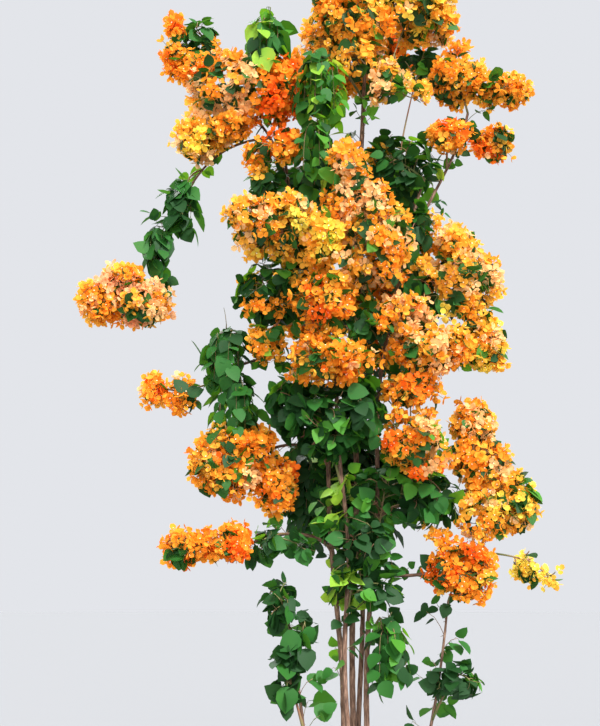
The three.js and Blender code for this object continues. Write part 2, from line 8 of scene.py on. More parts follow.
# %% Load the fixed frame
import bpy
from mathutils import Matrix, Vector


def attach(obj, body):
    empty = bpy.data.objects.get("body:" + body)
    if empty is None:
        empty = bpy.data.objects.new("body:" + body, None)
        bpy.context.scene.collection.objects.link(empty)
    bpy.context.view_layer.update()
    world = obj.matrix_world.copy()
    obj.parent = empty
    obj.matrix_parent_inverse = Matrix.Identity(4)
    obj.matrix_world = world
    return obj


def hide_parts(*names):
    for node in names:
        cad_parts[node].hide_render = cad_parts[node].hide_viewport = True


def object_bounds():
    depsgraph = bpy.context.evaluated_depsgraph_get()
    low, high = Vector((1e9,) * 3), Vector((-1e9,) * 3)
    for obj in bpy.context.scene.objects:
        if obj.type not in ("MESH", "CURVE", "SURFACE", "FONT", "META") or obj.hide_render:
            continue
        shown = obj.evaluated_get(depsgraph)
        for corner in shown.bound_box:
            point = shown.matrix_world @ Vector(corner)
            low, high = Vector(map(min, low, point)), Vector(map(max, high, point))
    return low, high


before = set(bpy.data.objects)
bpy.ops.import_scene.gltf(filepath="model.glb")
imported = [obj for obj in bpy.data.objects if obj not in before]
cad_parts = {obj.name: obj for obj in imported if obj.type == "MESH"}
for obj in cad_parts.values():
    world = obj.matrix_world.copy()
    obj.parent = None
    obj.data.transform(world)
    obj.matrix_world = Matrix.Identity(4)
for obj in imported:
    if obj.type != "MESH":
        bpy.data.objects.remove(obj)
cad_box = [list(corner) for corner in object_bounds()]

import math
from collections import namedtuple

import bpy
import numpy as np
from mathutils import Vector, kdtree, noise

print("the solid model has", len(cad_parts), "nodes, and its box in metres is", cad_box)

# %% [markdown]
# ## The camera
# The picture to match is upright in format. It was taken from four and a half metres away at chest
# height, with the camera tilted up a little. The lens could be given in millimetres, but a focal
# length in pixels of that picture is easier to compare with sizes that are read off the picture.

# %% Place the camera
PICTURE = (600, 726)  # pixels across and down
FOCAL_LENGTH = 1260  # in the same pixels
SENSOR_WIDTH = 36  # millimetres
CAMERA_PLACE = (-0.179, -4.5, 1.04)
CAMERA_TILT = math.radians(9.8)


def put_in_scene(name, data):
    """A new object with this name and data, linked into the scene."""
    thing = bpy.data.objects.new(name, data)
    bpy.context.scene.collection.objects.link(thing)
    return thing


camera = put_in_scene("camera", bpy.data.cameras.new("camera"))
camera.location = CAMERA_PLACE
camera.rotation_euler = (math.pi / 2 + CAMERA_TILT, 0, 0)
camera.data.sensor_width = SENSOR_WIDTH
camera.data.lens = SENSOR_WIDTH * FOCAL_LENGTH / max(PICTURE)
bpy.context.scene.camera = camera
print("lens in mm:", round(camera.data.lens, 1))

# %% [markdown]
# ## Colours and nodes
# Colours are easiest to choose as the hex values that a paint or picture program shows. Blender
# calculates with linear light, so one function turns the first into the second. A second small
# function adds a shader node, sets it and links it, which keeps each material short and in order.

# %% Helpers for materials
def linear(hex_colour):
    """The linear colour, with alpha, of an sRGB hex value such as "#ff8800", by the sRGB standard."""
    channels = [int(hex_colour[i:i + 2], 16) / 255 for i in (1, 3, 5)]
    return [c / 12.92 if c <= 0.04045 else ((c + 0.055) / 1.055) ** 2.4 for c in channels] + [1]


def add_node(tree, kind, settings=None, links=None, stops=()):
    """Adds a node. Settings are its sockets' values or its own options, links are what feeds its
    sockets, and stops are the places and hex colours of a colour ramp."""
    node = tree.nodes.new(kind)
    for name, value in (settings or {}).items():
        if isinstance(name, int) or name in node.inputs:
            node.inputs[name].default_value = value
        else:
            setattr(node, name, value)
    for name, source in (links or {}).items():
        tree.links.new(source, node.inputs[name])
    for rank, (place, hex_colour) in enumerate(stops):
        elements = node.color_ramp.elements
        element = elements[rank] if rank < len(elements) else elements.new(place)
        element.position = place
        element.color = linear(hex_colour)
    return node


def new_material(name):
    """An empty material and its node tree."""
    material = bpy.data.materials.new(name)
    material.use_nodes = True
    material.node_tree.nodes.clear()
    return material, material.node_tree


print("the grey #808080 is", round(linear("#808080")[0], 3), "in linear light")

# %% [markdown]
# ## Floor, sky and light
# A plant outdoors is lit from all sides: hard sunlight from above, here on the right, and soft light
# that the sky and all pale things round it send back. A pale, even sky gives part of the soft light,
# and three wide suns the rest: the key from the upper right, one from behind that shines through the
# bracts, and a fill from the front. A large lamp near the plant would do too, but it would light the
# top more than the foot. The floor is a wide disc of trowelled plaster, which looks matt and even.

# %% Sky and suns
SKY_WHITE = "#e3e5ea"
# for each sun the direction in which its light travels, its strength and how wide it looks
SUNS = {
    "key_light": ((-0.55, 0.62, -0.72), 6.9, math.radians(14)),
    "back_light": ((0.3, -0.6, -0.7), 2.7, math.radians(14)),
    "fill_light": ((0.15, 0.95, -0.25), 2.5, math.radians(50)),
}

world = bpy.data.worlds.new("pale_sky")
world.use_nodes = True
world.node_tree.nodes["Background"].inputs["Color"].default_value = linear(SKY_WHITE)
bpy.context.scene.world = world
bpy.context.scene.view_settings.view_transform = "Standard"

for name, (direction, strength, spread) in SUNS.items():
    sun = put_in_scene(name, bpy.data.lights.new(name, "SUN"))
    sun.data.energy = strength
    sun.data.angle = spread
    sun.rotation_mode = "QUATERNION"
    sun.rotation_quaternion = Vector(direction).to_track_quat("-Z", "Y")
print("a pale sky and", len(SUNS), "suns are in place")

# %% The floor
FLOOR_RADIUS = 40
FLOOR_SIDES = 96
FLOOR_HEIGHT = -0.001  # just below the cut under the root crown
FLOOR_GREY = "#898a8c"  # as bright as the sky once the suns shine on it


def even_angles(count):
    """Angles that divide a full turn evenly."""
    return np.arange(count) * 2 * math.pi / count


rim = [(FLOOR_RADIUS * math.cos(a), FLOOR_RADIUS * math.sin(a), FLOOR_HEIGHT)
       for a in even_angles(FLOOR_SIDES)]
floor_mesh = bpy.data.meshes.new("floor")
floor_mesh.from_pydata(rim, [], [range(FLOOR_SIDES)])
plaster, tree = new_material("pale_plaster_floor")
shader = add_node(tree, "ShaderNodeBsdfPrincipled",
                  {"Base Color": linear(FLOOR_GREY), "Roughness": 0.9, "Specular IOR Level": 0.0})
add_node(tree, "ShaderNodeOutputMaterial", {}, {"Surface": shader.outputs["BSDF"]})
floor_mesh.materials.append(plaster)
floor = put_in_scene("floor", floor_mesh)
print("the floor is", 2 * FLOOR_RADIUS, "m wide")

# %% [markdown]
# ## Bark
# The stems wear grey-brown bark with fissures that run lengthwise, 4.5 mm apart and about seven
# times as long, with paler ridges between them and duller patches some 70 mm apart. It is dry, rough
# wood, so it hardly shines. The pattern is drawn in each limb's own directions, which the mesh
# carries as the attribute "grain": two of its numbers go round the limb and the third runs along it.
# Object coordinates would be simpler, but on a limb that leans they would run across the bark.

# %% Grey-brown fissured bark
FISSURE_SPACING = 0.0045  # metres, as the other sizes
FISSURE_STRETCH = 0.14
FISSURE_DEPTH = 0.0012
DULL_SPACING = 1 / 14
DULL_SHARE = 0.8
MILLIMETRES = 1000  # in a metre

bark, tree = new_material("grey_brown_fissured_bark")
grain = add_node(tree, "ShaderNodeAttribute", {"attribute_name": "grain"})
lengthwise = add_node(tree, "ShaderNodeMapping", {"Scale": (1, 1, FISSURE_STRETCH)},
                      {"Vector": grain.outputs["Vector"]})
fissures = add_node(tree, "ShaderNodeTexNoise",
                    {"Scale": 1 / FISSURE_SPACING, "Detail": 4.0, "Roughness": 0.6},
                    {"Vector": lengthwise.outputs["Vector"]})
wood_tone = add_node(tree, "ShaderNodeValToRGB", {}, {"Fac": fissures.outputs["Fac"]},
                     [(0.3, "#3a2a22"), (0.48, "#735646"), (0.62, "#957763"), (0.8, "#b89f8a")])
patches = add_node(tree, "ShaderNodeTexNoise", {"Scale": 1 / DULL_SPACING, "Detail": 2.0},
                   {"Vector": grain.outputs["Vector"]})
patch_tone = add_node(tree, "ShaderNodeValToRGB", {}, {"Fac": patches.outputs["Fac"]},
                      [(0.4, "#ffffff"), (0.7, "#b9a99a")])
# sockets 6 and 7 of a colour mix are its two colours, and its output 2 is the result
tinted = add_node(tree, "ShaderNodeMix", {"data_type": "RGBA", "blend_type": "MULTIPLY", 0: DULL_SHARE},
                  {6: wood_tone.outputs["Color"], 7: patch_tone.outputs["Color"]})
relief = add_node(tree, "ShaderNodeBump", {"Strength": 0.7, "Distance": FISSURE_DEPTH},
                  {"Height": fissures.outputs["Fac"]})
shader = add_node(tree, "ShaderNodeBsdfPrincipled", {"Roughness": 0.85, "IOR": 1.45},
                  {"Base Color": tinted.outputs[2], "Normal": relief.outputs["Normal"]})
add_node(tree, "ShaderNodeOutputMaterial", {}, {"Surface": shader.outputs["BSDF"]})
print("bark: fissures every", FISSURE_SPACING * MILLIMETRES, "mm")

# %% [markdown]
# ## Leaves and bracts
# A leaf is thin, waxy above and lets green light through. A bract is a leaf turned to coloured
# paper: matt, thinner still, and glowing where light stands behind it. Both are drawn as a
# Principled shader mixed with a Translucent one. No two sprays have quite the same colour, so there
# are several plain shades of each, dealt out spray by spray; the darker and lighter leaf greens, and
# partly the yellow bracts, are also painted shade and painted light. A pattern inside the leaf would
# be finer than a pixel; the fold along the midrib is in the mesh instead. The petals of the small
# flower in a blossom's middle are a thin sheet too, in cream.

# %% Leaf green and bract orange
# the dark greens are partly painted shade, and the fresh and lime ones partly painted light, as the
# masses' lists deal them out
# for each shade the colour of the face, of the light that comes through, and how much of that
LEAF_SHADES = {
    "dark": ("#133c14", "#3a7418", 0.2),
    "mid": ("#235c1e", "#5a981c", 0.26),
    "fresh": ("#438426", "#88c424", 0.36),
    "lime": ("#8aba3a", "#c8e448", 0.45),
}
BRACT_SHADES = {
    "fiery": ("#fd7216", "#ff8c22", 0.46),
    "orange": ("#ff9f2a", "#ffb436", 0.52),
    "amber": ("#ffb83e", "#ffcc4e", 0.52),
    "peach": ("#ffcb88", "#ffdca4", 0.52),
    "salmon": ("#ffb884", "#ffc48e", 0.5),
    # yellow is partly the bracts' own colour and partly a painted highlight where the sun falls brightest
    "yellow": ("#ffdb4e", "#fff074", 0.5),
}
PETAL_CREAM = ("#fff3d0", "#fff0c0", 0.3)


def thin_sheet(name, face_colour, glow_colour, glow_share, roughness, ior):
    """A thin sheet that reflects in one colour and lets light through in another."""
    material, tree = new_material(name)
    face = add_node(tree, "ShaderNodeBsdfPrincipled",
                    {"Base Color": linear(face_colour), "Roughness": roughness, "IOR": ior})
    glow = add_node(tree, "ShaderNodeBsdfTranslucent", {"Color": linear(glow_colour)})
    both = add_node(tree, "ShaderNodeMixShader", {0: glow_share},
                    {1: face.outputs["BSDF"], 2: glow.outputs["BSDF"]})
    add_node(tree, "ShaderNodeOutputMaterial", {}, {"Surface": both.outputs["Shader"]})
    return material


leaf_materials = {shade: thin_sheet("waxy_leaf_" + shade, *colours, roughness=0.66, ior=1.38)
                  for shade, colours in LEAF_SHADES.items()}
bract_materials = {shade: thin_sheet("papery_bract_" + shade, *colours, roughness=0.75, ior=1.35)
                   for shade, colours in BRACT_SHADES.items()}
flower_material = thin_sheet("cream_flower_petal", *PETAL_CREAM, roughness=0.6, ior=1.4)
print(len(leaf_materials), "shades of leaf and", len(bract_materials), "shades of bract")

# %% [markdown]
# ## Young wood
# This year's twigs are green-brown and smooth, and redden towards the light. Nothing on them is
# larger than a pixel, so a slow change of colour, over some 110 mm, is enough.

# %% Green-brown young wood
TWIG_TONE_SPACING = 1 / 9  # metres

young_wood, tree = new_material("green_brown_young_wood")
places = add_node(tree, "ShaderNodeTexCoord")
slow = add_node(tree, "ShaderNodeTexNoise", {"Scale": 1 / TWIG_TONE_SPACING, "Detail": 1.0},
                {"Vector": places.outputs["Object"]})
twig_tone = add_node(tree, "ShaderNodeValToRGB", {}, {"Fac": slow.outputs["Fac"]},
                     [(0.35, "#5c6330"), (0.52, "#7a6a44"), (0.68, "#8a5f48")])
shader = add_node(tree, "ShaderNodeBsdfPrincipled", {"Roughness": 0.6, "IOR": 1.45},
                  {"Base Color": twig_tone.outputs["Color"]})
add_node(tree, "ShaderNodeOutputMaterial", {}, {"Surface": shader.outputs["BSDF"]})
print("young wood: its colour changes over", round(TWIG_TONE_SPACING * MILLIMETRES), "mm")

# %% [markdown]
# ## The limbs' routes
# Five stems, two long shoots and nine boughs carry everything. Each runs along one smooth curve
# from its foot by two bends to its tip, at the very places that the solid model has. A Bezier curve
# is the natural choice, because four points say it all. To put things along it, the curve must be
# measured: it is sampled and its length added up.

# %% A line that knows its length
HEADING_STEP = 0.02  # the share of a line's length over which its heading is taken


def unit(vector):
    """The same direction at length 1."""
    return vector / np.linalg.norm(vector)


def bezier(corners, samples=120):
    """Points on the Bezier curve that these corners draw."""
    rows = [np.array(corner, float)[None, :] for corner in corners]
    share = np.linspace(0, 1, samples + 1)[:, None]
    while len(rows) > 1:
        rows = [a + (b - a) * share for a, b in zip(rows, rows[1:])]
    return rows[0]


class Route:
    """A line through space on which a share of its length can be found."""

    def __init__(self, points):
        self.points = points
        steps = np.linalg.norm(np.diff(points, axis=0), axis=1)
        self.reached = np.concatenate([[0], np.cumsum(steps)])
        self.length = self.reached[-1]

    def at(self, share):
        """The point, or points, at a share of the length."""
        wanted = np.asarray(share) * self.length
        return np.stack([np.interp(wanted, self.reached, self.points[:, i]) for i in range(3)], -1)

    def heading(self, share):
        """The direction in which the line runs there."""
        return unit(self.at(min(share + HEADING_STEP, 1)) - self.at(max(share - HEADING_STEP, 0)))


straight_metre = Route(bezier([(0, 0, 0), (0, 0, 1)]))
print("a straight metre is measured as", round(straight_metre.length, 3), "m")

# %% The routes' corners and the limbs' radii, in metres
# name: foot on the crown, then two bends and the tip, and the radius at the foot and at the tip
STEMS = {
    "stem_centre": ((0.002, 0.002), [(0.03, 0.01, 1.1), (-0.03, 0.02, 2.2), (0.095, 0.02, 3.225)],
                    (0.0115, 0.0055)),
    "stem_left": ((-0.038, -0.006), [(-0.01, -0.02, 1.15), (-0.12, -0.07, 1.95), (-0.285, -0.12, 2.83)],
                  (0.0105, 0.005)),
    "stem_right": ((0.039, -0.006), [(0.08, -0.01, 0.9), (0.04, -0.05, 1.8), (0.275, -0.06, 2.49)],
                   (0.0105, 0.0055)),
    "stem_back": ((0.016, 0.038), [(0.05, 0.06, 0.95), (0.02, 0.15, 1.9), (0.075, 0.165, 2.9)],
                  (0.01, 0.005)),
    "stem_front": ((-0.012, -0.038), [(-0.01, -0.06, 0.8), (-0.03, -0.12, 1.5), (-0.07, -0.235, 2.105)],
                   (0.01, 0.0055)),
}
SHOOTS = {
    "shoot_left": ((-0.034, -0.026), [(-0.19, -0.04, 0.33), (-0.15, -0.03, 0.65), (-0.245, -0.06, 1.01)],
                   (0.008, 0.0035)),
    "shoot_right": ((0.032, -0.03), [(0.23, -0.06, 0.23), (0.29, -0.05, 0.6), (0.325, -0.14, 0.972)],
                    (0.008, 0.0035)),
}
# name: what it grows on, at which share of that limb's length, then as above
BOUGHS = {
    "bough_left_low": (
        "stem_left", 0.37,
        [(-0.13, 0.01, 1.23), (-0.29, 0, 1.21), (-0.378, -0.095, 1.152)], (0.0065, 0.004)),
    "bough_left_mid": (
        "stem_left", 0.48,
        [(-0.12, -0.04, 1.53), (-0.23, -0.06, 1.53), (-0.31, -0.12, 1.478)], (0.0065, 0.0045)),
    "bough_left_upper": (
        "stem_left", 0.59,
        [(-0.19, -0.01, 1.9), (-0.4, 0, 1.83), (-0.512, -0.092, 1.722)], (0.0065, 0.004)),
    "bough_upper_left": (
        "stem_left", 0.84,
        [(-0.25, -0.06, 2.6), (-0.3, -0.09, 2.68), (-0.352, -0.125, 2.702)], (0.006, 0.0045)),
    "bough_trailing": (
        "bough_upper_left", 0.715,
        [(-0.56, 0.02, 2.66), (-0.6, -0.13, 2.4), (-0.698, -0.15, 2.126)], (0.005, 0.003)),
    "bough_right_upper": (
        "stem_right", 0.89,
        [(0.33, -0.02, 2.48), (0.41, -0.06, 2.6), (0.436, -0.105, 2.728)], (0.006, 0.0045)),
    "bough_right_mid": (
        "stem_right", 0.67,
        [(0.22, -0.03, 1.76), (0.35, -0.05, 1.82), (0.398, -0.115, 1.908)], (0.0065, 0.0045)),
    "bough_right_low": (
        "stem_right", 0.47,
        [(0.17, -0.04, 1.33), (0.35, -0.05, 1.32), (0.428, -0.095, 1.362)], (0.0065, 0.0045)),
    "bough_right_bottom": (
        "stem_right", 0.39,
        [(0.16, -0.02, 1.05), (0.34, -0.01, 1.04), (0.452, -0.07, 1.16)], (0.0065, 0.0045)),
}
print(len(STEMS), "stems,", len(SHOOTS), "shoots and", len(BOUGHS), "boughs")

# %% Where the stems, shoots and boughs run
STEM_FOOT_Z = 0.15  # the stems start inside the root crown
STEM_SWAY = 0.013
STEM_SWAY_TURNS = 2.3
SWAY_DEPTH = 0.5  # front to back, as a share of the sway to the sides


def sway_about(points, foot):
    """Lets a stem sway about its line; where it starts in its sway depends on its foot's place in mm."""
    share = np.linspace(0, 1, len(points))
    amount = STEM_SWAY * np.sin(math.pi * share)
    turn = STEM_SWAY_TURNS * 2 * math.pi * share
    points[:, 0] += amount * np.sin(turn + MILLIMETRES * foot[0])
    points[:, 1] += amount * SWAY_DEPTH * np.cos(turn + MILLIMETRES * foot[1])
    return points


limbs = {}
for name, (foot, line, thick) in STEMS.items():
    limbs[name] = (Route(sway_about(bezier([(*foot, STEM_FOOT_Z), *line]), foot)), thick)
for name, (foot, line, thick) in SHOOTS.items():
    limbs[name] = (Route(bezier([(*foot, STEM_FOOT_Z), *line])), thick)
for name, (parent, share, line, thick) in BOUGHS.items():
    limbs[name] = (Route(bezier([limbs[parent][0].at(share), *line])), thick)
for name, (route, thick) in limbs.items():
    print(name, "is", round(route.length, 2), "m long")

# %% [markdown]
# ## A limb's skin
# A limb is a tube whose radius shrinks along its route. Blender's own curve bevel or Skin modifier
# could make it, but neither can press flakes and knots into the bark where they belong. So the rings
# are worked out here: a frame is carried along the route without twisting, and every point of a ring
# may have its own radius.

# %% Draw a tube
def carried_frames(centres):
    """Two directions across a line at each of its points, carried along it without twist."""
    ahead = np.gradient(centres, axis=0)
    ahead /= np.linalg.norm(ahead, axis=1)[:, None]
    side = np.cross(ahead[0], (0, 1, 0) if abs(ahead[0][1]) < 0.9 else (1, 0, 0))
    sides = []
    for direction in ahead:
        side = unit(side - direction * side.dot(direction))
        sides.append(side)
    sides = np.array(sides)
    return sides, np.cross(ahead, sides)


def ring_triangles(rings, around):
    """The triangles between rings of points, closed by a pole at either end."""
    ring, column = np.meshgrid(np.arange(rings - 1), np.arange(around), indexing="ij")
    here = (ring * around + column).ravel()
    beside = (ring * around + (column + 1) % around).ravel()
    skin = [np.stack([here, beside, beside + around], 1),
            np.stack([here, beside + around, here + around], 1)]
    edge = np.arange(around)
    after = (edge + 1) % around
    top = (rings - 1) * around
    first_pole = np.full(around, rings * around)
    caps = [np.stack([first_pole, after, edge], 1),
            np.stack([first_pole + 1, top + edge, top + after], 1)]
    return np.concatenate(skin + caps)


def tube(centres, radii, around):
    """Points and triangles of a closed tube. radii holds one number per ring, or one per point."""
    sides, others = carried_frames(centres)
    angle = even_angles(around)[None, :, None]
    outward = np.cos(angle) * sides[:, None] + np.sin(angle) * others[:, None]
    radii = np.broadcast_to(np.reshape(radii, (len(centres), -1)), (len(centres), around))
    points = centres[:, None] + outward * radii[:, :, None]
    points = np.concatenate([points.reshape(-1, 3), centres[:1], centres[-1:]])
    return points, ring_triangles(len(centres), around)


print("a tube of 2 rings of 6 points has", len(ring_triangles(2, 6)), "triangles")

# %% Join many shapes in one mesh
class Sheaf:
    """Collects the points and triangles of many small shapes for one joined mesh."""

    def __init__(self):
        self.points, self.triangles, self.grains, self.count = [], [], [], 0

    def add(self, points, triangles, grain=None):
        """Adds a shape; grain is the bark's own coordinates at its points."""
        self.points.append(points)
        self.triangles.append(triangles + self.count)
        self.grains.append(grain)
        self.count += len(points)

    def arrays(self):
        """All points and all triangles."""
        return np.concatenate(self.points), np.concatenate(self.triangles)


def make_piece(name, points, triangles, material):
    """A smooth-shaded mesh object from plain arrays."""
    mesh = bpy.data.meshes.new(name)
    mesh.vertices.add(len(points))
    mesh.vertices.foreach_set("co", points.astype(np.float32).ravel())
    mesh.loops.add(triangles.size)
    mesh.loops.foreach_set("vertex_index", triangles.astype(np.int32).ravel())
    mesh.polygons.add(len(triangles))
    mesh.polygons.foreach_set("loop_start", np.arange(0, triangles.size, 3, dtype=np.int32))
    mesh.update(calc_edges=True)
    mesh.validate()
    mesh.shade_smooth()
    mesh.materials.append(material)
    return put_in_scene(name, mesh)


def give_grain(mesh, grain):
    """Stores the bark's own coordinates at a mesh's points, where its material reads them."""
    attribute = mesh.attributes.new("grain", "FLOAT_VECTOR", "POINT")
    attribute.data.foreach_set("vector", grain.ravel())


bark_sheaf = Sheaf()
twig_sheaf = Sheaf()
print("two sheaves, for bark and for twigs, hold", bark_sheaf.count + twig_sheaf.count, "points so far")

# %% [markdown]
# ## Bark with relief
# Along a real stem the bark splits into long flakes, about 8 mm wide and 45 mm long, old leaf places
# stand out as knots, and a bough leaves its stem in a swollen collar. A displacement in the material
# could draw them, but they are large enough to change the outline, so they are pressed into the
# mesh; the fine fissures are left to the material.

# %% Stems, shoots and boughs
RING_SPACING = 0.007
FEWEST_RINGS = 6
SIDES_OF_LIMB = {"thick": 14, "thin": 10}
THICK_OVER = 0.01  # metres of radius
FLAKES_PER_METRE = (130, 130, 22)
FLAKE_DEPTH = 0.11  # as a share of the radius, as the next one
KNOT_HEIGHT = 0.16
KNOT_SPACING = 0.085
KNOT_LENGTH = 0.09  # as a share of the spacing
KNOT_TURN = 2.4  # radians round the limb from one knot to the next
COLLAR_LENGTH = 0.022
COLLAR_SWELLING = 0.7


def flakes_at(places, per_metre):
    """From -1 to 1, how far the flakes of bark stand out at each place."""
    return np.array([noise.noise(Vector(place)) for place in places * per_metre])


def radius_at(thick, share):
    """The radius at a share of a limb's length, from those at its foot and its tip."""
    return thick[0] + (thick[1] - thick[0]) * share


def bark_radii(route, thick, around, seed, collar):
    """Where a limb's rings lie, and the radius and the grain at each of their points."""
    rings = max(FEWEST_RINGS, round(route.length / RING_SPACING))
    along = np.linspace(0, 1, rings)
    angle = even_angles(around)
    radius = radius_at(thick, along)
    metres = along * route.length
    grain = np.stack([np.outer(radius, np.cos(angle)), np.outer(radius, np.sin(angle)),
                      np.repeat(metres[:, None], around, 1)], -1)
    grain[:, :, 2] += seed
    flakes = flakes_at(grain.reshape(-1, 3), FLAKES_PER_METRE).reshape(rings, around)
    knots = metres / KNOT_SPACING
    knot = np.exp(-((knots % 1 - 0.5) / KNOT_LENGTH) ** 2)
    facing = np.maximum(0, np.cos(angle[None, :] - np.floor(knots)[:, None] * KNOT_TURN)) ** 2
    swelling = 1 + FLAKE_DEPTH * flakes + KNOT_HEIGHT * knot[:, None] * facing
    if collar:
        swelling *= 1 + COLLAR_SWELLING * np.exp(-metres / COLLAR_LENGTH)[:, None]
    return along, radius[:, None] * swelling, grain


for seed, (name, (route, thick)) in enumerate(limbs.items()):
    around = SIDES_OF_LIMB["thick" if thick[0] > THICK_OVER else "thin"]
    along, radii, grain = bark_radii(route, thick, around, seed, collar=name in BOUGHS)
    points, triangles = tube(route.at(along), radii, around)
    poles = [grain[end, :1] * (0, 0, 1) for end in (0, -1)]
    bark_sheaf.add(points, triangles, np.concatenate([grain.reshape(-1, 3), *poles]))
print("limb bark has", sum(len(t) for t in bark_sheaf.triangles), "triangles")

# %% [markdown]
# ## The root crown
# Where the stems meet the ground they have grown together into one flared stump, with flakes a
# little wider than the stems'. It could be sculpted by hand. Here it is made as real wood grows: the
# stump and the feet of the stems are set into each other, then a voxel remesh gives them one common
# skin, and smoothing lets the wood flow from one into the other.

# %% The stump and the stems' feet under one skin
# the stump's radius at each height
CROWN_OUTLINE = [(0.095, 0), (0.074, 0.028), (0.06, 0.094), (0.068, 0.183), (0.053, 0.223), (0.01, 0.235)]
CROWN_RINGS = 34
CROWN_SIDES = 48
CROWN_RIBS = 5
CROWN_RIB_DEPTH = 0.16
CROWN_RIBS_TURNED = 0.6  # radians
FOOT_LENGTH = 0.2
FOOT_SWELLING = (1.7, 0.93)  # times the stem's radius, below and above
FOOT_RINGS = 9
FOOT_SIDES = 12
SKIN_VOXEL = 0.0035

outline_radius, outline_height = np.array(CROWN_OUTLINE).T
crown_height = outline_height[-1]
heights = np.linspace(0, crown_height, CROWN_RINGS)
near_ground = 1 - heights / crown_height
rib_waves = np.cos(CROWN_RIBS * even_angles(CROWN_SIDES)[None, :] + CROWN_RIBS_TURNED)
ribs = 1 + CROWN_RIB_DEPTH * near_ground[:, None] * rib_waves
stump_radii = np.interp(heights, outline_height, outline_radius)[:, None] * ribs
crown_sheaf = Sheaf()
crown_sheaf.add(*tube(np.outer(heights, (0, 0, 1)), stump_radii, CROWN_SIDES))
for name in [*STEMS, *SHOOTS]:
    route, thick = limbs[name]
    foot_line = route.at(np.linspace(0, FOOT_LENGTH / route.length, FOOT_RINGS))
    crown_sheaf.add(*tube(foot_line, thick[0] * np.linspace(*FOOT_SWELLING, FOOT_RINGS), FOOT_SIDES))

crown = make_piece("root_crown_bark", *crown_sheaf.arrays(), bark)
skin = crown.modifiers.new("one_skin", "REMESH")
skin.mode = "VOXEL"
skin.voxel_size = SKIN_VOXEL
smoothing = crown.modifiers.new("flowing_wood", "SMOOTH")
smoothing.iterations = 5
smoothing.factor = 0.5
settled = crown.evaluated_get(bpy.context.evaluated_depsgraph_get())
wood = bpy.data.meshes.new_from_object(settled)
crown.modifiers.clear()
print("under one skin the root crown has", len(wood.polygons), "faces")

# %% Flakes on the root crown
CROWN_FLAKES_PER_METRE = (90, 90, 16)
CROWN_FLAKE_DEPTH = 0.003
CROWN_FLAKES_FROM = 0.01  # metres above the ground, below which they fade out


def at_points(mesh, what):
    """A row of three numbers for each point of a mesh: its place or its normal."""
    numbers = np.zeros(len(mesh.vertices) * 3)
    mesh.vertices.foreach_get(what, numbers)
    return numbers.reshape(-1, 3)


places = at_points(wood, "co")
above_ground = np.clip(places[:, 2] / CROWN_FLAKES_FROM, 0, 1)
lift = CROWN_FLAKE_DEPTH * flakes_at(places, CROWN_FLAKES_PER_METRE) * above_ground
places += at_points(wood, "normal") * lift[:, None]
places[:, 2] = np.maximum(places[:, 2], 0)
wood.vertices.foreach_set("co", places.ravel())
give_grain(wood, places)
wood.materials.clear()
wood.materials.append(bark)
wood.shade_smooth()
crown.data = wood
print("the flakes stand out by up to", round(lift.max() * MILLIMETRES, 1), "mm")

# %% [markdown]
# ## The masses and their tufts
# The crown isn't one ball: it falls into some forty heads of bloom and bunches of leaves, with sky
# between them. Each is a mass of one to three tufts, and a tuft has its own space, an ellipsoid
# given by its middle and its half widths. The first tuft of a mass grows on the limb and each next
# one on the stem of the tuft before. Some masses weep: their leaves hang in strands. The word slim
# narrows or widens what grows in a mass, and gaps says how open it is. The masses could be found
# from the solids' boxes, but these don't say where the tufts are. So the lists repeat the solid
# model's, in millimetres, with the colours that each mass shows.

# %% The kinds of tufts and masses
BLOOM_CHANCE = {"full": 0.92, "loose": 0.66, "leafy": 0.06}  # of a spray; the others bear leaves
GAPS = {"full": -0.32, "loose": 0.02, "leafy": -0.3}  # where the noise is below this, a tuft is open


def full(middle, half, kind="full"):
    """A tuft in the ellipsoid with this middle and these half widths, full of what its mass bears."""
    return {"kind": kind, "centre": np.array(middle) / MILLIMETRES, "radii": np.array(half) / MILLIMETRES}


def loose(middle, half):
    """A tuft of a few heads of bloom with leaves and sky between them."""
    return full(middle, half, "loose")


def leafy(middle, half):
    """A tuft of leaves in a mass of blossom."""
    return full(middle, half, "leafy")


def blossom(name, at, tufts, hue="orange", **more):
    """A mass of blossom that leaves its limb at this share of the limb's length."""
    return {"node": "blossom_" + name, "blooms": True, "at": at, "tufts": tufts, "hue": hue,
            "green": "under_bloom", "weeping": False, "leaf_size": 0.8, "slim": 1, **more}


def foliage(name, at, tufts, green="shade", **more):
    """A mass of leaves, in which a few sprays may bloom."""
    return {"node": "foliage_" + name, "blooms": False, "at": at, "tufts": tufts, "hue": "bright",
            "green": green, "bloom_share": 0, "weeping": False, "leaf_size": 0.92, "slim": 1, **more}


print("a full tuft of blossom blooms on", BLOOM_CHANCE["full"], "of its sprays")

# %% What the centre and left stems carry, in millimetres
masses = []


def put_on_limbs(carried):
    """Numbers the masses that these limbs carry and adds them to the list."""
    for limb, its_masses in carried.items():
        for mass in its_masses:
            masses.append({"limb": limb, "index": len(masses), **mass})
    print(len(masses), "masses so far")


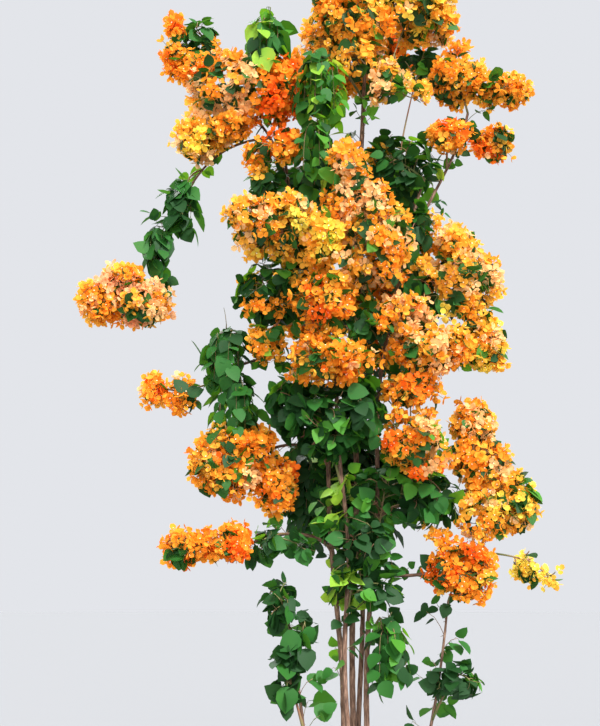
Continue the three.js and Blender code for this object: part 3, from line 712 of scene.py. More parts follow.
put_on_limbs({
    "stem_centre": [
        blossom("crest", 1, [full((100, 0, 3400), (230, 200, 150))], hue="bright"),
        blossom("top_left", 0.91, [
            full((-14, -203, 3042), (155, 130, 155)),
            loose((25, -240, 2875), (65, 80, 55)),
        ], hue="bright"),
        blossom("top_right", 0.95, [
            full((255, -150, 3110), (160, 150, 145)),
            loose((140, -200, 2840), (70, 75, 60)),
            loose((185, -210, 2765), (110, 70, 45)),
        ], hue="golden"),
        foliage("hanging", 0.87, [
            full((-115, -260, 2800), (80, 85, 180)),
            full((-125, -260, 2545), (65, 80, 135)),
        ], green="sunlit", weeping=True, leaf_size=0.8),
    ],
    "stem_left": [
        blossom("left_tip", 0.975, [
            leafy((-540, -115, 3015), (75, 80, 90)),
            full((-640, -130, 3000), (45, 70, 90)),
            full((-570, -120, 2895), (105, 80, 55)),
        ], hue="fiery"),
        blossom("upper_deep", 0.92, [full((-260, -200, 2785), (95, 110, 120))], hue="deep"),
        foliage("top_left", 1, [
            full((-300, -200, 3010), (60, 85, 140)),
        ], green="sunlit", weeping=True, leaf_size=1.2, slim=0.9),
        blossom("upper_inner", 0.8, [
            loose((-270, -190, 2555), (110, 110, 80)),
            leafy((-295, -170, 2435), (85, 90, 60)),
        ], hue="fiery"),
        foliage("left_mid", 0.65, [
            full((-290, -170, 2040), (125, 120, 125)),
            full((-135, -190, 2100), (100, 110, 70)),
            loose((-285, -190, 1855), (95, 90, 75)),
        ], green="mixed", bloom_share=0.08),
    ],
})

# %% What the right stem carries
put_on_limbs({
    "stem_right": [
        foliage("upper_right", 1, [
            full((195, -80, 2540), (155, 130, 140)),
            full((270, -60, 2940), (105, 110, 80)),
        ], green="mixed", bloom_share=0.05, gaps=0.02),
        foliage("right_mid", 0.82, [
            full((230, -140, 2285), (80, 110, 120)),
            full((260, -130, 2035), (90, 110, 105)),
        ], bloom_share=0.15),
        foliage("column_upper", 0.36, [
            full((115, -90, 1345), (170, 130, 120)),
            full((290, -80, 1320), (110, 110, 125)),
        ], green="mixed", bloom_share=0.03, gaps=-0.02),
        foliage("column_bottom", 0.27, [
            full((125, -70, 840), (60, 80, 165)),
        ], green="open_shade", weeping=True),
    ],
})

# %% What the back and front stems carry
put_on_limbs({
    "stem_back": [
        blossom("back_top", 1, [
            full((110, 190, 3090), (200, 150, 200)),
            full((-140, 170, 2950), (120, 120, 130)),
        ], gaps=-0.1),
        blossom("back_mid", 0.68, [
            full((130, 200, 2040), (230, 160, 230)),
            full((-190, 180, 2080), (120, 120, 150)),
        ], gaps=-0.1),
        foliage("back_upper", 0.83, [
            full((-130, 180, 2500), (250, 160, 230)),
            full((200, 170, 2550), (120, 120, 160)),
        ], weeping=True, slim=0.88),
        foliage("back_low", 0.44, [
            full((-50, 190, 1430), (240, 160, 260)),
            full((235, 170, 1480), (110, 110, 150)),
        ], weeping=True, slim=0.88),
    ],
    "stem_front": [
        blossom("centre_left", 1, [
            full((-275, -330, 2250), (155, 140, 125)),
            full((-105, -340, 2175), (90, 120, 85)),
        ], hue="golden"),
        blossom("centre_right", 0.95, [
            full((70, -330, 2175), (135, 140, 170)),
            full((0, -310, 2370), (90, 120, 110)),
            full((-20, -290, 2495), (75, 90, 55)),
        ], hue="peachy"),
        blossom("mid", 0.8, [
            full((-70, -320, 1775), (140, 120, 80)),
            leafy((55, -250, 1905), (95, 105, 65)),
            full((-100, -330, 1980), (110, 120, 80)),
        ]),
        foliage("core", 0.6, [
            full((-105, -180, 1585), (130, 160, 160)),
            full((-230, -180, 1655), (85, 110, 90)),
            full((35, -170, 1630), (95, 140, 145)),
        ]),
        foliage("column_lower", 0.36, [
            full((30, -100, 1185), (140, 130, 120)),
            full((35, -90, 1000), (140, 110, 90)),
        ], green="mixed", gaps=-0.08),
    ],
})

# %% What the left boughs carry
put_on_limbs({
    "bough_upper_left": [
        blossom("upper_left", 1, [full((-445, -170, 2805), (135, 135, 125))], hue="pale"),
    ],
    "bough_trailing": [
        blossom("upper_left_low", 0.32, [
            full((-555, -150, 2615), (85, 95, 90)),
            full((-430, -150, 2650), (65, 85, 60)),
        ], hue="golden"),
        blossom("trailing", 1, [
            full((-730, -150, 2005), (100, 120, 90)),
            full((-815, -130, 2100), (70, 80, 45)),
            full((-895, -150, 2010), (70, 95, 70)),
        ], hue="faded", gaps=-0.5),
        foliage("trailing", 0.4, [
            full((-600, -150, 2385), (75, 80, 110)),
            full((-680, -150, 2230), (65, 75, 115)),
        ], green="open_shade", weeping=True, leaf_size=1.05, slim=0.5),
    ],
    "bough_left_upper": [
        blossom("left_small", 1, [
            loose((-585, -120, 1685), (75, 90, 70)),
            full((-690, -120, 1700), (40, 70, 55)),
        ]),
        foliage("left_trail", 0.55, [
            full((-455, -150, 1850), (60, 85, 135)),
            full((-395, -150, 1655), (75, 85, 120)),
        ], green="open_shade", weeping=True, slim=1.05),
    ],
    "bough_left_mid": [
        blossom("left_big", 1, [
            full((-250, -100, 1360), (70, 90, 95)),
            full((-325, -140, 1500), (60, 95, 70)),
            full((-440, -150, 1445), (135, 130, 130)),
        ], gaps=-0.5),
    ],
    "bough_left_low": [
        blossom("left_low", 1, [
            full((-425, -130, 1170), (85, 95, 70)),
            full((-585, -130, 1150), (80, 95, 75)),
        ], hue="fiery"),
        foliage("left_low", 0.5, [
            full((-285, -110, 1185), (75, 80, 75)),
            full((-160, -100, 1150), (50, 70, 60)),
        ], green="open_shade"),
    ],
})

# %% What the right boughs carry
put_on_limbs({
    "bough_right_upper": [
        blossom("right_upper", 1, [
            full((400, -120, 2845), (110, 120, 100)),
            full((585, -120, 2810), (90, 85, 60)),
        ], hue="bright"),
        blossom("right_drop", 0.6, [
            full((355, -150, 2625), (80, 80, 60)),
            full((530, -100, 2615), (80, 90, 75)),
        ]),
    ],
    "bough_right_mid": [
        blossom("right_tall", 1, [
            full((475, -150, 1855), (85, 95, 95)),
            full((400, -130, 2080), (130, 130, 140)),
            full((370, -130, 2235), (60, 80, 65)),
        ], hue="golden"),
        blossom("right_mid", 0.5, [
            full((270, -200, 1830), (140, 120, 90)),
            full((190, -215, 1965), (95, 85, 55)),
        ], hue="peachy"),
    ],
    "bough_right_low": [
        blossom("right_outer", 1, [
            full((445, -100, 1455), (110, 110, 100)),
            full((425, -110, 1600), (75, 90, 75)),
        ], hue="peachy"),
        blossom("right_inner", 0.25, [
            full((210, -230, 1505), (120, 110, 100)),
            full((200, -220, 1685), (110, 85, 60)),
        ]),
    ],
    "bough_right_bottom": [
        blossom("right_bottom", 1, [
            full((500, -100, 1280), (135, 110, 95)),
            full((580, -110, 1345), (65, 80, 75)),
        ], hue="golden"),
        blossom("tail", 0.9, [
            full((610, -80, 1105), (65, 75, 75)),
            full((690, -80, 1050), (40, 55, 40)),
        ], hue="sunny", gaps=0.0),
    ],
})

# %% What the shoots carry
put_on_limbs({
    "shoot_left": [
        foliage("left_hook", 0.85, [full((-245, -125, 965), (70, 80, 120))], green="open_shade"),
        foliage("left_bottom", 0.45, [
            full((-225, -95, 720), (70, 85, 135)),
            full((-165, -100, 880), (55, 70, 70)),
        ], leaf_size=1.15),
    ],
    "shoot_right": [
        blossom("lower_right", 1, [full((365, -150, 1070), (135, 115, 105))], hue="fiery", gaps=-0.12),
        foliage("right_bottom", 0.55, [full((335, -140, 710), (120, 95, 75))], bloom_share=0.1),
    ],
})

# %% Number the tufts
tufts = []
for mass in masses:
    for rank, tuft in enumerate(mass["tufts"]):
        plain_leaves = not mass["blooms"] and tuft["kind"] == "full"
        tuft.update({
            "mass": mass, "index": len(tufts), "before": tufts[-1] if rank else None,
            "blooms": mass["blooms"] and tuft["kind"] != "leafy",
            "bloom_share": mass["bloom_share"] if plain_leaves else BLOOM_CHANCE[tuft["kind"]],
            "gaps": mass.get("gaps", GAPS[tuft["kind"]]),
            "grown": tuft["radii"] * (mass["slim"], mass["slim"], 1),
        })
        tufts.append(tuft)
print(len(masses), "masses of", len(tufts), "tufts,", sum(t["blooms"] for t in tufts), "of them in bloom")

# %% [markdown]
# ## Whose space is it?
# Where the tufts of two masses overlap, a leaf belongs to the mass in whose tuft it lies nearer to
# the middle, as a share of the half width. Cutting the masses apart with boolean modifiers would
# slice leaves in two; this one rule keeps the masses apart and every leaf whole.

# %% The rule of own space
EDGE = 1.08  # leaves may stand this far out, as a share of the half width
AREA_POWER = 1.6
CENTRES = np.array([tuft["centre"] for tuft in tufts])
RADII = np.array([tuft["radii"] for tuft in tufts])
OWNERS = np.array([tuft["mass"]["index"] for tuft in tufts])


def depths_at(points):
    """For each point and tuft, 0 in the tuft's middle and 1 on its edge."""
    return np.linalg.norm((np.atleast_2d(points)[:, None] - CENTRES) / RADII, axis=2)


def in_own_space(mass, point, edge=EDGE):
    """Whether a point lies in one of the mass's tufts and belongs to no other mass."""
    depths = depths_at(point)[0]
    own = OWNERS == mass["index"]
    return depths[own].min() <= min(edge, depths[~own].min())


def surface_area(radii):
    """The area of an ellipsoid, by a formula that is right to about one part in a hundred."""
    a, b, c = radii ** AREA_POWER
    return 4 * math.pi * ((a * b + a * c + b * c) / 3) ** (1 / AREA_POWER)


print("all tufts together have", round(sum(surface_area(r) for r in RADII), 1), "square metres of surface")

# %% [markdown]
# ## From the limb into the tuft
# A stem leaves the limb, or the stem of the tuft before, rises a little and ends past the middle of
# its tuft. In a weeping mass the first stem goes over the top and comes down through the tuft, as
# long shoots do under their own weight. A few points on a curve say both, without any simulation.

# %% The stem of a tuft
TUFT_STEM_RADII = (0.0055, 0.0022)
NEXT_STEM_RADII = (0.0034, 0.0018)
NEXT_TUFT_AT = 0.7  # the share of a tuft's stem at which the next one's leaves it
STEM_RISE = 0.12  # as a share of the way
PAST_MIDDLE = 0.45  # where a stem ends, as a share of the half width
WEEPS_FROM = 0.75  # how high above the middle a weeping stem goes, as a share of the half height
WEEPS_TO = 0.62  # and how far below the middle it ends
WEEP_BEND = (0.6, 0.4)  # where on its way up it bends, and by how much of the rise it goes higher
STEM_RING_SPACING = 0.025
FEWEST_STEM_RINGS = 8
STEM_SIDES = 6
THINNER_THAN_LIMB = 0.95


def tuft_stem(tuft):
    """The route of the stem that carries a tuft's twigs."""
    mass, before, centre, radii = (tuft[key] for key in ("mass", "before", "centre", "radii"))
    start = before["stem"].at(NEXT_TUFT_AT) if before else limbs[mass["limb"]][0].at(mass["at"])
    rise = STEM_RISE * np.linalg.norm(centre - start)
    if mass["weeping"] and not before:
        top = centre + (0, 0, radii[2] * WEEPS_FROM)
        end = centre - (0, 0, radii[2] * WEEPS_TO)
        over = start + (top - start) * WEEP_BEND[0]
        over[2] = max(over[2], top[2]) + rise * WEEP_BEND[1]
        return Route(bezier([start, over, top, end], samples=40))
    beyond = unit(centre - start) * radii * PAST_MIDDLE
    over = (start + centre) / 2 + (0, 0, rise)
    return Route(bezier([start, over, centre + beyond], samples=40))


for tuft in tufts:
    tuft["stem"] = tuft_stem(tuft)
    limb_radius = radius_at(limbs[tuft["mass"]["limb"]][1], tuft["mass"]["at"])
    foot, tip = NEXT_STEM_RADII if tuft["before"] else TUFT_STEM_RADII
    rings = np.linspace(0, 1, max(FEWEST_STEM_RINGS, round(tuft["stem"].length / STEM_RING_SPACING)))
    radii = np.interp(rings, [0, 1], [min(foot, limb_radius * THINNER_THAN_LIMB), tip])
    twig_sheaf.add(*tube(tuft["stem"].at(rings), radii, STEM_SIDES))
print("the tufts' stems have", sum(len(t) for t in twig_sheaf.triangles), "triangles")

# %% [markdown]
# ## Twigs that reach everywhere
# Twigs must fill a tuft evenly without looking ruled. Placing them by chance alone would leave bare
# spots. The golden angle does better: each next twig turns by it round the tuft, from its top to its
# bottom, and is then moved a little by chance. First grow the twigs that the solid model has too,
# but they stop short of the edge. Finer twigs then leave them and carry a spray each to the edge.

# %% The golden angle
GOLDEN_ANGLE = math.pi * (3 - math.sqrt(5))
HEIGHT_CHANCE = 0.1  # as a share of the half height
TURN_CHANCE = 0.4  # radians


def outer_points(tuft, count):
    """Points spread evenly over a tuft's ellipsoid, and the way each faces."""
    random = tuft["random"]
    k = np.arange(count)
    height = np.clip(1 - 2 * (k + 0.5) / count + (random.random(count) - 0.5) * HEIGHT_CHANCE, -1, 1)
    ring = np.sqrt(1 - height ** 2)
    turn = k * GOLDEN_ANGLE + tuft["index"] + (random.random(count) - 0.5) * TURN_CHANCE
    out = np.stack([ring * np.cos(turn), ring * np.sin(turn), height], -1)
    facing = out / tuft["grown"]
    facing /= np.linalg.norm(facing, axis=1)[:, None]
    return out * tuft["grown"], facing


print("the golden angle is", round(math.degrees(GOLDEN_ANGLE), 1), "degrees")

# %% The first twigs
FIRST_PATCH = 0.016  # square metres of a tuft's surface for each first twig
FEWEST_TWIGS = 4
FIRST_TWIG_RADII = (0.0026, 0.0017)
FIRST_REACH = 0.66  # how far out first twigs reach, as a share of the half width
FIRST_ARCH = 0.06  # as a share of a twig's length, as the next one
TWIG_BEND = 0.22
ENTRY_SHARES = np.arange(0.1, 0.62, 0.04)  # of the stem's length, where twigs may start
LATEST_ENTRY = 0.6
WELL_INSIDE = 0.8  # as a share of the half width
LAST_TWIG_AT = 0.97  # of the stem's length
STEM_STEPS = 25


def entry_share(tuft):
    """The share of its length at which a tuft's stem is well inside the tuft."""
    depths = depths_at(tuft["stem"].at(ENTRY_SHARES))[:, tuft["index"]]
    inside = ENTRY_SHARES[depths <= WELL_INSIDE]
    return inside[0] if len(inside) else LATEST_ENTRY


def twig_route(root, heading, tip, arch):
    """A twig starts along its parent, bends towards its tip and arches up on the way."""
    gap = np.linalg.norm(tip - root)
    bend = root * 0.5 + tip * 0.5 + heading * gap * TWIG_BEND + (0, 0, arch * gap)
    return Route(bezier([root, bend, tip], samples=12))


def add_twig(route, radii, rings, sides=3):
    """Draws a twig along its route, as thick at its foot and tip as the radii say."""
    twig_sheaf.add(*tube(route.at(np.linspace(0, 1, rings)), np.linspace(*radii, rings), sides))


def first_twigs(tuft):
    """The twigs of the solid model, up to two thirds of the way out."""
    count = max(FEWEST_TWIGS, round(surface_area(tuft["grown"]) / FIRST_PATCH))
    outer, _ = outer_points(tuft, count)
    tips = tuft["centre"] + outer * FIRST_REACH
    along = tuft["stem"].at(np.linspace(0, 1, STEM_STEPS))
    nearest = np.argmin(np.linalg.norm(tips[:, None] - along[None], axis=2), axis=1)
    first = entry_share(tuft)
    twigs = []
    for rank, k in enumerate(np.argsort(nearest, kind="stable")):
        share = first + (LAST_TWIG_AT - first) * (rank + 0.5) / count
        route = twig_route(tuft["stem"].at(share), tuft["stem"].heading(share), tips[k], FIRST_ARCH)
        add_twig(route, FIRST_TWIG_RADII, rings=6, sides=4)
        twigs.append(route)
    return twigs


for tuft in tufts:
    tuft["random"] = np.random.default_rng(tuft["index"] + 11)
    tuft["twigs"] = first_twigs(tuft)
print("first twigs:", sum(len(tuft["twigs"]) for tuft in tufts))

# %% [markdown]
# ## Sprays
# A spray is the outermost twig with what it carries: a head of blossoms with a leaf or two below
# it, or leaves along its whole length. It leaves the nearest first twig. One spray for a patch the
# size of a palm covers the tuft and still lets one look in between. How far sprays reach changes
# from place to place, which gives the lumpy outline that such a bush has, and sprays of leaves
# stand out beyond the bloom round them. Where two full tufts lie side by side, the sprays between
# them reach further, so that both run together in one cloud. Every tenth spray in bloom straggles:
# it stands further out and bears few blossoms. No spray leaves the solid model's box by more than
# is allowed. A hair system could scatter twigs as well, but it knows nothing of such neighbours.

# %% How far out a spray may reach
REACH = (0.76, 1.05)  # as a share of the half width
LUMPS = ((0.3, 0.08), (0.34, 0.19))  # how much further or less far, over how many metres
SPRAY_EDGE = 1.06
CLOUD_REACH = 1.24  # how much further towards a full tuft near by
CLOUD_NEAR = 1.36  # a tuft is near where a spray would end within this share of its half width
LEAVES_PROUD = 1.06
STRAGGLERS = 0.1  # of the sprays in bloom
STRAGGLE = 0.2  # how much further they reach, as a share of the half width
DEEP = 0.78  # no spray's tip lies deeper than this in another tuft of its mass
HEAD_REACH = 0.07  # metres from a spray's tip to its outermost bract or leaf
BOX_ALLOWANCE = (0.03, 0.01)  # a share of each side, and metres, that the fine plant may stand proud

in_cloud = np.array([tuft["kind"] == "full" and tuft["gaps"] < 0 and not tuft["mass"]["weeping"]
                     for tuft in tufts])
in_leaf = np.array([tuft["kind"] == "leafy" for tuft in tufts])
box_low, box_high = np.array(cad_box)
allowance = BOX_ALLOWANCE[0] * (box_high - box_low) + BOX_ALLOWANCE[1] - HEAD_REACH


def joins_a_cloud(tuft, point):
    """Whether a point beside a full tuft is near another one and not in a leafy one."""
    others = in_cloud.copy()
    others[tuft["index"]] = False
    depths = depths_at(point)[0]
    return in_cloud[tuft["index"]] and depths[others].min() < CLOUD_NEAR and depths[in_leaf].min() > 1


def may_end_at(tuft, tip, edge):
    """Whether a spray's tip is in its mass's space, not deep in a sister tuft, and in the box."""
    siblings = [other["index"] for other in tuft["mass"]["tufts"] if other is not tuft]
    if not in_own_space(tuft["mass"], tip, edge) or (depths_at(tip)[0, siblings] < DEEP).any():
        return False
    return (tip >= box_low - allowance).all() and (tip <= box_high + allowance).all()


print(in_cloud.sum(), "tufts may run together with their neighbours")

# %% Grow a spray for each patch of surface
BLOOM_PATCH = 0.0044  # square metres of surface for each spray of blossom
LEAF_PATCH = 0.0055  # and for each spray of leaves
WEEPING_SPARSE = 2.5  # times that in a weeping mass, which has its strands besides
FEWEST_SPRAYS = 6
GAP_SIZE = 0.055  # metres
SPRAY_DEPTH = 0.03  # a head of bloom has its middle this far below the surface
SPRAY_TWIG_RADII = (0.0017, 0.001)
SPRAY_ARCH = {"weeping": -0.05, "upright": 0.1}  # as a share of its length
SPRAY_ROOTS = np.linspace(0.25, 1, 6)  # where sprays leave a first twig
LEAVES_BEYOND = 0.1  # how much further out than a spray's tip its leaves may stand

sprays = []
for tuft in tufts:
    random, mass = tuft["random"], tuft["mass"]
    patch = BLOOM_PATCH if tuft["blooms"] else LEAF_PATCH * (WEEPING_SPARSE if mass["weeping"] else 1)
    outer, facing = outer_points(tuft, max(FEWEST_SPRAYS, round(surface_area(tuft["grown"]) / patch)))
    roots = np.concatenate([route.at(SPRAY_ROOTS) for route in tuft["twigs"]])
    arch = SPRAY_ARCH["weeping" if mass["weeping"] else "upright"]
    for out, face in zip(outer, facing):
        blooms = random.random() < tuft["bloom_share"]
        surface = Vector(tuft["centre"] + out)
        reach = random.uniform(*REACH) + sum(much * noise.noise(surface / size) for much, size in LUMPS)
        edge = SPRAY_EDGE
        if joins_a_cloud(tuft, tuft["centre"] + out * reach * CLOUD_REACH):
            reach *= CLOUD_REACH
            edge *= CLOUD_REACH
        elif noise.noise(surface / GAP_SIZE) < tuft["gaps"]:
            continue
        if mass["blooms"] and not blooms:
            reach *= LEAVES_PROUD
        straggles = blooms and random.random() < STRAGGLERS
        if straggles:
            reach += STRAGGLE
            edge += STRAGGLE
        tip = tuft["centre"] + out * reach - face * SPRAY_DEPTH
        if not may_end_at(tuft, tip, edge):
            continue
        nearest = int(np.argmin(np.linalg.norm(roots - tip, axis=1)))
        twig, place_on_twig = divmod(nearest, len(SPRAY_ROOTS))
        heading = tuft["twigs"][twig].heading(SPRAY_ROOTS[place_on_twig])
        route = twig_route(roots[nearest], heading, tip, arch)
        add_twig(route, SPRAY_TWIG_RADII, rings=5)
        sprays.append({"tuft": tuft, "route": route, "facing": face, "blooms": blooms,
                       "straggles": straggles, "edge": edge + LEAVES_BEYOND})
print(len(sprays), "sprays,", sum(spray["blooms"] for spray in sprays), "in bloom")

# %% [markdown]
# ## Hanging strands
# In a weeping mass the long shoots hang straight down, side by side, with sky between them and
# leaves all the way. They leave the stem where it comes over the top, drop a little apart, and end
# at different heights. Cloth or hair physics would settle them too, but slowly and not the same way
# each time; a curve that ends plumb does it at once.

# %% Strands of the weeping masses
STRAND_PATCH = 0.011  # square metres of a tuft's surface for each strand
FEWEST_STRANDS = 3
STRAND_SPREAD = 1.05  # how far from the middle strands hang, as a share of the half width
STRAND_MIDDLE = 0.15  # of the strands' area, which they leave free round the middle
STRAND_DROP = (0.4, 0.95)  # how low they end, as a share of the half height
STRAND_SHOULDER = 0.5  # how high they turn down, in the same share
STRANDS_START = (0.35, 0.7)  # the share of the stem's length
STRAND_LOOKS_UP = 0.2  # how much its leaves face upwards

for tuft in tufts:
    mass, random = tuft["mass"], tuft["random"]
    if not mass["weeping"]:
        continue
    for k in range(max(FEWEST_STRANDS, round(surface_area(tuft["grown"]) / STRAND_PATCH))):
        turn = k * GOLDEN_ANGLE + tuft["index"]
        spread = STRAND_SPREAD * math.sqrt(random.uniform(STRAND_MIDDLE, 1))
        out = np.array([math.cos(turn) * spread, math.sin(turn) * spread, -random.uniform(*STRAND_DROP)])
        low = tuft["centre"] + out * tuft["grown"]
        start = tuft["stem"].at(random.uniform(*STRANDS_START))
        shoulder_height = tuft["centre"][2] + tuft["radii"][2] * STRAND_SHOULDER
        shoulder = np.array([low[0], low[1], max(start[2], shoulder_height)])
        route = Route(bezier([start, shoulder, (shoulder + low) / 2, low], samples=24))
        add_twig(route, SPRAY_TWIG_RADII, rings=10)
        facing = unit(out * (1, 1, 0) + (0, 0, STRAND_LOOKS_UP))
        sprays.append({"tuft": tuft, "route": route, "facing": facing, "blooms": False, "edge": None})
print(len(sprays), "sprays and strands")

# %% [markdown]
# ## Dealing out the colours
# Colours change from spray to spray but keep to neighbourhoods: one bough has faded to peach, the
# next is still deep orange. Pure chance would mix them like confetti, so a slowly changing noise
# over the place, with some chance added, picks each spray's shade from its mass's list. The leaf
# lists paint light: dark greens for masses in shade and under bloom, fresh and lime greens for
# sunlit ones. Yellow bracts are partly their own colour and partly a painted highlight where the
# sun falls brightest, as in the sunny list of the tail at the right edge.

# %% Shades for the sprays
BLOOM_HUES = {
    "orange": ["orange", "fiery", "amber", "orange", "orange", "amber", "orange", "peach"],
    "bright": ["orange", "amber", "amber", "orange", "amber", "orange", "amber"],
    "deep": ["fiery", "orange", "fiery", "fiery", "orange"],
    "fiery": ["orange", "fiery", "orange", "orange", "amber"],
    "golden": ["amber", "orange", "amber", "peach", "amber", "yellow", "amber"],
    "peachy": ["orange", "peach", "amber", "orange", "peach", "amber", "peach", "orange"],
    "pale": ["peach", "orange", "peach", "amber", "peach", "peach"],
    "faded": ["orange", "amber", "salmon", "orange", "peach", "amber"],
    # mostly yellow: partly the bracts' own colour, partly a painted highlight for the tail at the sunlit
    # right edge
    "sunny": ["yellow", "amber", "yellow"],
}
# each mass's greens follow its light: painted shade, in dark greens, for masses in shade and under bloom,
# and painted light, in fresh and lime greens, for sunlit ones
LEAF_HUES = {
    "shade": ["dark", "dark", "dark", "mid", "dark", "mid", "mid", "fresh"],
    "mixed": ["dark", "mid", "fresh", "mid", "dark", "fresh", "lime"],
    "under_bloom": ["dark", "dark", "mid", "mid", "dark", "fresh"],
    "open_shade": ["dark", "mid", "mid", "dark", "mid", "fresh"],
    "sunlit": ["mid", "fresh", "fresh", "lime", "mid", "fresh", "fresh"],
}
NEIGHBOURHOOD = 0.16  # metres over which the shade changes
SHADE_CONTRAST = 0.9
SHADE_CHANCE = 0.55


def pick_shade(shades, place, random):
    """A shade that depends on the place, with some chance."""
    slow = 0.5 + SHADE_CONTRAST * noise.noise(Vector(place) / NEIGHBOURHOOD)
    share = slow + (random.random() - 0.5) * SHADE_CHANCE
    return shades[int(np.clip(share, 0, 0.999) * len(shades))]


for spray in sprays:
    mass, random, tip = spray["tuft"]["mass"], spray["tuft"]["random"], spray["route"].points[-1]
    spray["bloom_shade"] = pick_shade(BLOOM_HUES[mass["hue"]], tip, random)
    spray["leaf_shade"] = pick_shade(LEAF_HUES[mass["green"]], tip, random)
print(sum(spray["leaf_shade"] == "dark" for spray in sprays), "sprays have dark leaves")

# %% [markdown]
# ## One leaf, one blossom
# A bougainvillea leaf is egg-shaped with a pointed tip, folded a little along its midrib and bent
# down at the end. A blossom is three papery bracts, each like a rounded heart, cupped round a small
# cream flower. Both are drawn once, in a few variations, and then stamped thousands of times: that
# is far quicker than placing objects, and gives one mesh to export.

# %% Draw the blade that leaves and bracts share
# where along the blade its rows of points lie, and its half width there as a share of the greatest
LEAF_OUTLINE = [(0.05, 0.56), (0.22, 1), (0.5, 1), (0.78, 0.58)]
BRACT_OUTLINE = [(0.26, 0.9), (0.72, 0.88)]
UNEVEN = (0.92, 1.08)
VARIATIONS = 10


def blade(outline, half_width, fold, bend, wave, random):
    """Points of a blade of length 1 along Y that faces +Z: foot, then left, middle, right, then tip."""
    rows = [(0, 0, 0)]
    for along, share in outline:
        side = half_width * share * random.uniform(*UNEVEN)
        level = bend * along ** 2
        left, right = wave * random.uniform(-1, 1), wave * random.uniform(-1, 1)
        rows += [(-side, along, level + fold * share + left), (0, along, level),
                 (side, along, level + fold * share + right)]
    return np.array(rows + [(0, 1, bend)])


def blade_triangles(stations):
    """The triangles of a blade with this many rows of three points between foot and tip."""
    triangles = [(0, 2, 1), (0, 3, 2)]
    for row in range(stations - 1):
        a = 1 + 3 * row
        triangles += [(a, a + 1, a + 4), (a, a + 4, a + 3), (a + 1, a + 2, a + 5), (a + 1, a + 5, a + 4)]
    last, tip = 1 + 3 * (stations - 1), 1 + 3 * stations
    return np.array(triangles + [(last, last + 1, tip), (last + 1, last + 2, tip)])


def variations(template):
    """The same shape drawn several times, each a little different."""
    return np.array([template(template_random) for _ in range(VARIATIONS)])


template_random = np.random.default_rng(3)
print("a leaf's blade has", len(blade_triangles(len(LEAF_OUTLINE))), "triangles")

# %% The leaf with its stalk
LEAF_HALF_WIDTH = 0.42
LEAF_STALK = 0.2  # as a share of the blade's length, as the next one
LEAF_STALK_RADIUS = 0.012
THREE_SIDES = (0, 2.09, 4.19)  # radians


def leaf_template(random):
    """A leaf of blade length 1 on a three-sided stalk."""
    points = blade(LEAF_OUTLINE, LEAF_HALF_WIDTH, fold=0.07, bend=random.uniform(-0.28, -0.02),
                   wave=0.02, random=random)
    points[:, 1] += LEAF_STALK
    stalk = [(LEAF_STALK_RADIUS * math.cos(a), y, LEAF_STALK_RADIUS * math.sin(a))
             for y in (0, LEAF_STALK) for a in THREE_SIDES]
    return np.concatenate([points, stalk])


leaf_points = variations(leaf_template)
stalk_start = 2 + 3 * len(LEAF_OUTLINE)
stalk_triangles = np.array([(i, (i + 1) % 3, 3 + (i + 1) % 3) for i in range(3)]
                           + [(i, 3 + (i + 1) % 3, 3 + i) for i in range(3)])
leaf_triangles = np.concatenate([blade_triangles(len(LEAF_OUTLINE)), stalk_triangles + stalk_start])
print("a leaf has", len(leaf_triangles), "triangles")

# %% The blossom of three bracts
BRACT_HALF_WIDTH = 0.45
BRACT_HOLLOW = 0.16  # as a share of the bract's length
BRACT_FOOT = 0.05  # from the blossom's middle, in the same share
BRACT_LIFT = (18, 62)  # degrees
BRACT_TURN_CHANCE = 0.2  # radians


def blossom_template(random):
    """Three bracts of length 1 round the Z axis, cupped by different amounts."""
    points = []
    for k in range(3):
        bract = blade(BRACT_OUTLINE, BRACT_HALF_WIDTH, fold=0.1, bend=random.uniform(-0.12, 0.05),
                      wave=0.035, random=random)
        bract[:, 2] -= BRACT_HOLLOW * np.sin(math.pi * bract[:, 1])
        lift = math.radians(random.uniform(*BRACT_LIFT))
        turn = k * 2 * math.pi / 3 + random.uniform(-BRACT_TURN_CHANCE, BRACT_TURN_CHANCE)
        outward = np.array([math.cos(turn), math.sin(turn), 0])
        side = np.array([math.sin(turn), -math.cos(turn), 0])
        along = outward * math.cos(lift) + np.array([0, 0, math.sin(lift)])
        axes = np.array([side, along, np.cross(side, along)])
        points.append(bract @ axes + outward * BRACT_FOOT)
    return np.concatenate(points)


bracts_points = variations(blossom_template)
one_bract = blade_triangles(len(BRACT_OUTLINE))
bracts_triangles = np.concatenate([one_bract + k * (2 + 3 * len(BRACT_OUTLINE)) for k in range(3)])
print("a blossom has", len(bracts_triangles), "triangles in its bracts")

# %% The small flower in the middle of a blossom, and its stalk
TUBE_RINGS = [(0.06, 0), (0.08, 0.9)]  # radius and height of the flower's tube
MOUTH_RING = (0.26, 1.0)
THROAT = 0.92  # the height of the mouth's middle
STALK_RINGS = [(0.02, -1), (0.02, 0.05)]
FLOWER_LEAN = 0.3


def circle(radius, height, angles=THREE_SIDES):
    """Points round the Z axis."""
    return [(radius * math.cos(a), radius * math.sin(a), height) for a in angles]


def flower_template(random):
    """A slim tube of length 1 along Z that opens into a five-pointed mouth."""
    low, high = (circle(*sizes) for sizes in TUBE_RINGS)
    mouth = circle(*MOUTH_RING, even_angles(5))
    lean = np.array([*random.uniform(-FLOWER_LEAN, FLOWER_LEAN, size=2), 0])
    points = np.array(low + high + mouth + [(0, 0, THROAT)])
    return points + lean * points[:, 2:] ** 2


flower_points = variations(flower_template)
mouth_triangles = [(6 + k, 6 + (k + 1) % 5, 11) for k in range(5)]
flower_triangles = np.concatenate([stalk_triangles, mouth_triangles])
pedicel_points = np.array([[point for sizes in STALK_RINGS for point in circle(*sizes)]])
print("a flower has", len(flower_triangles), "triangles")

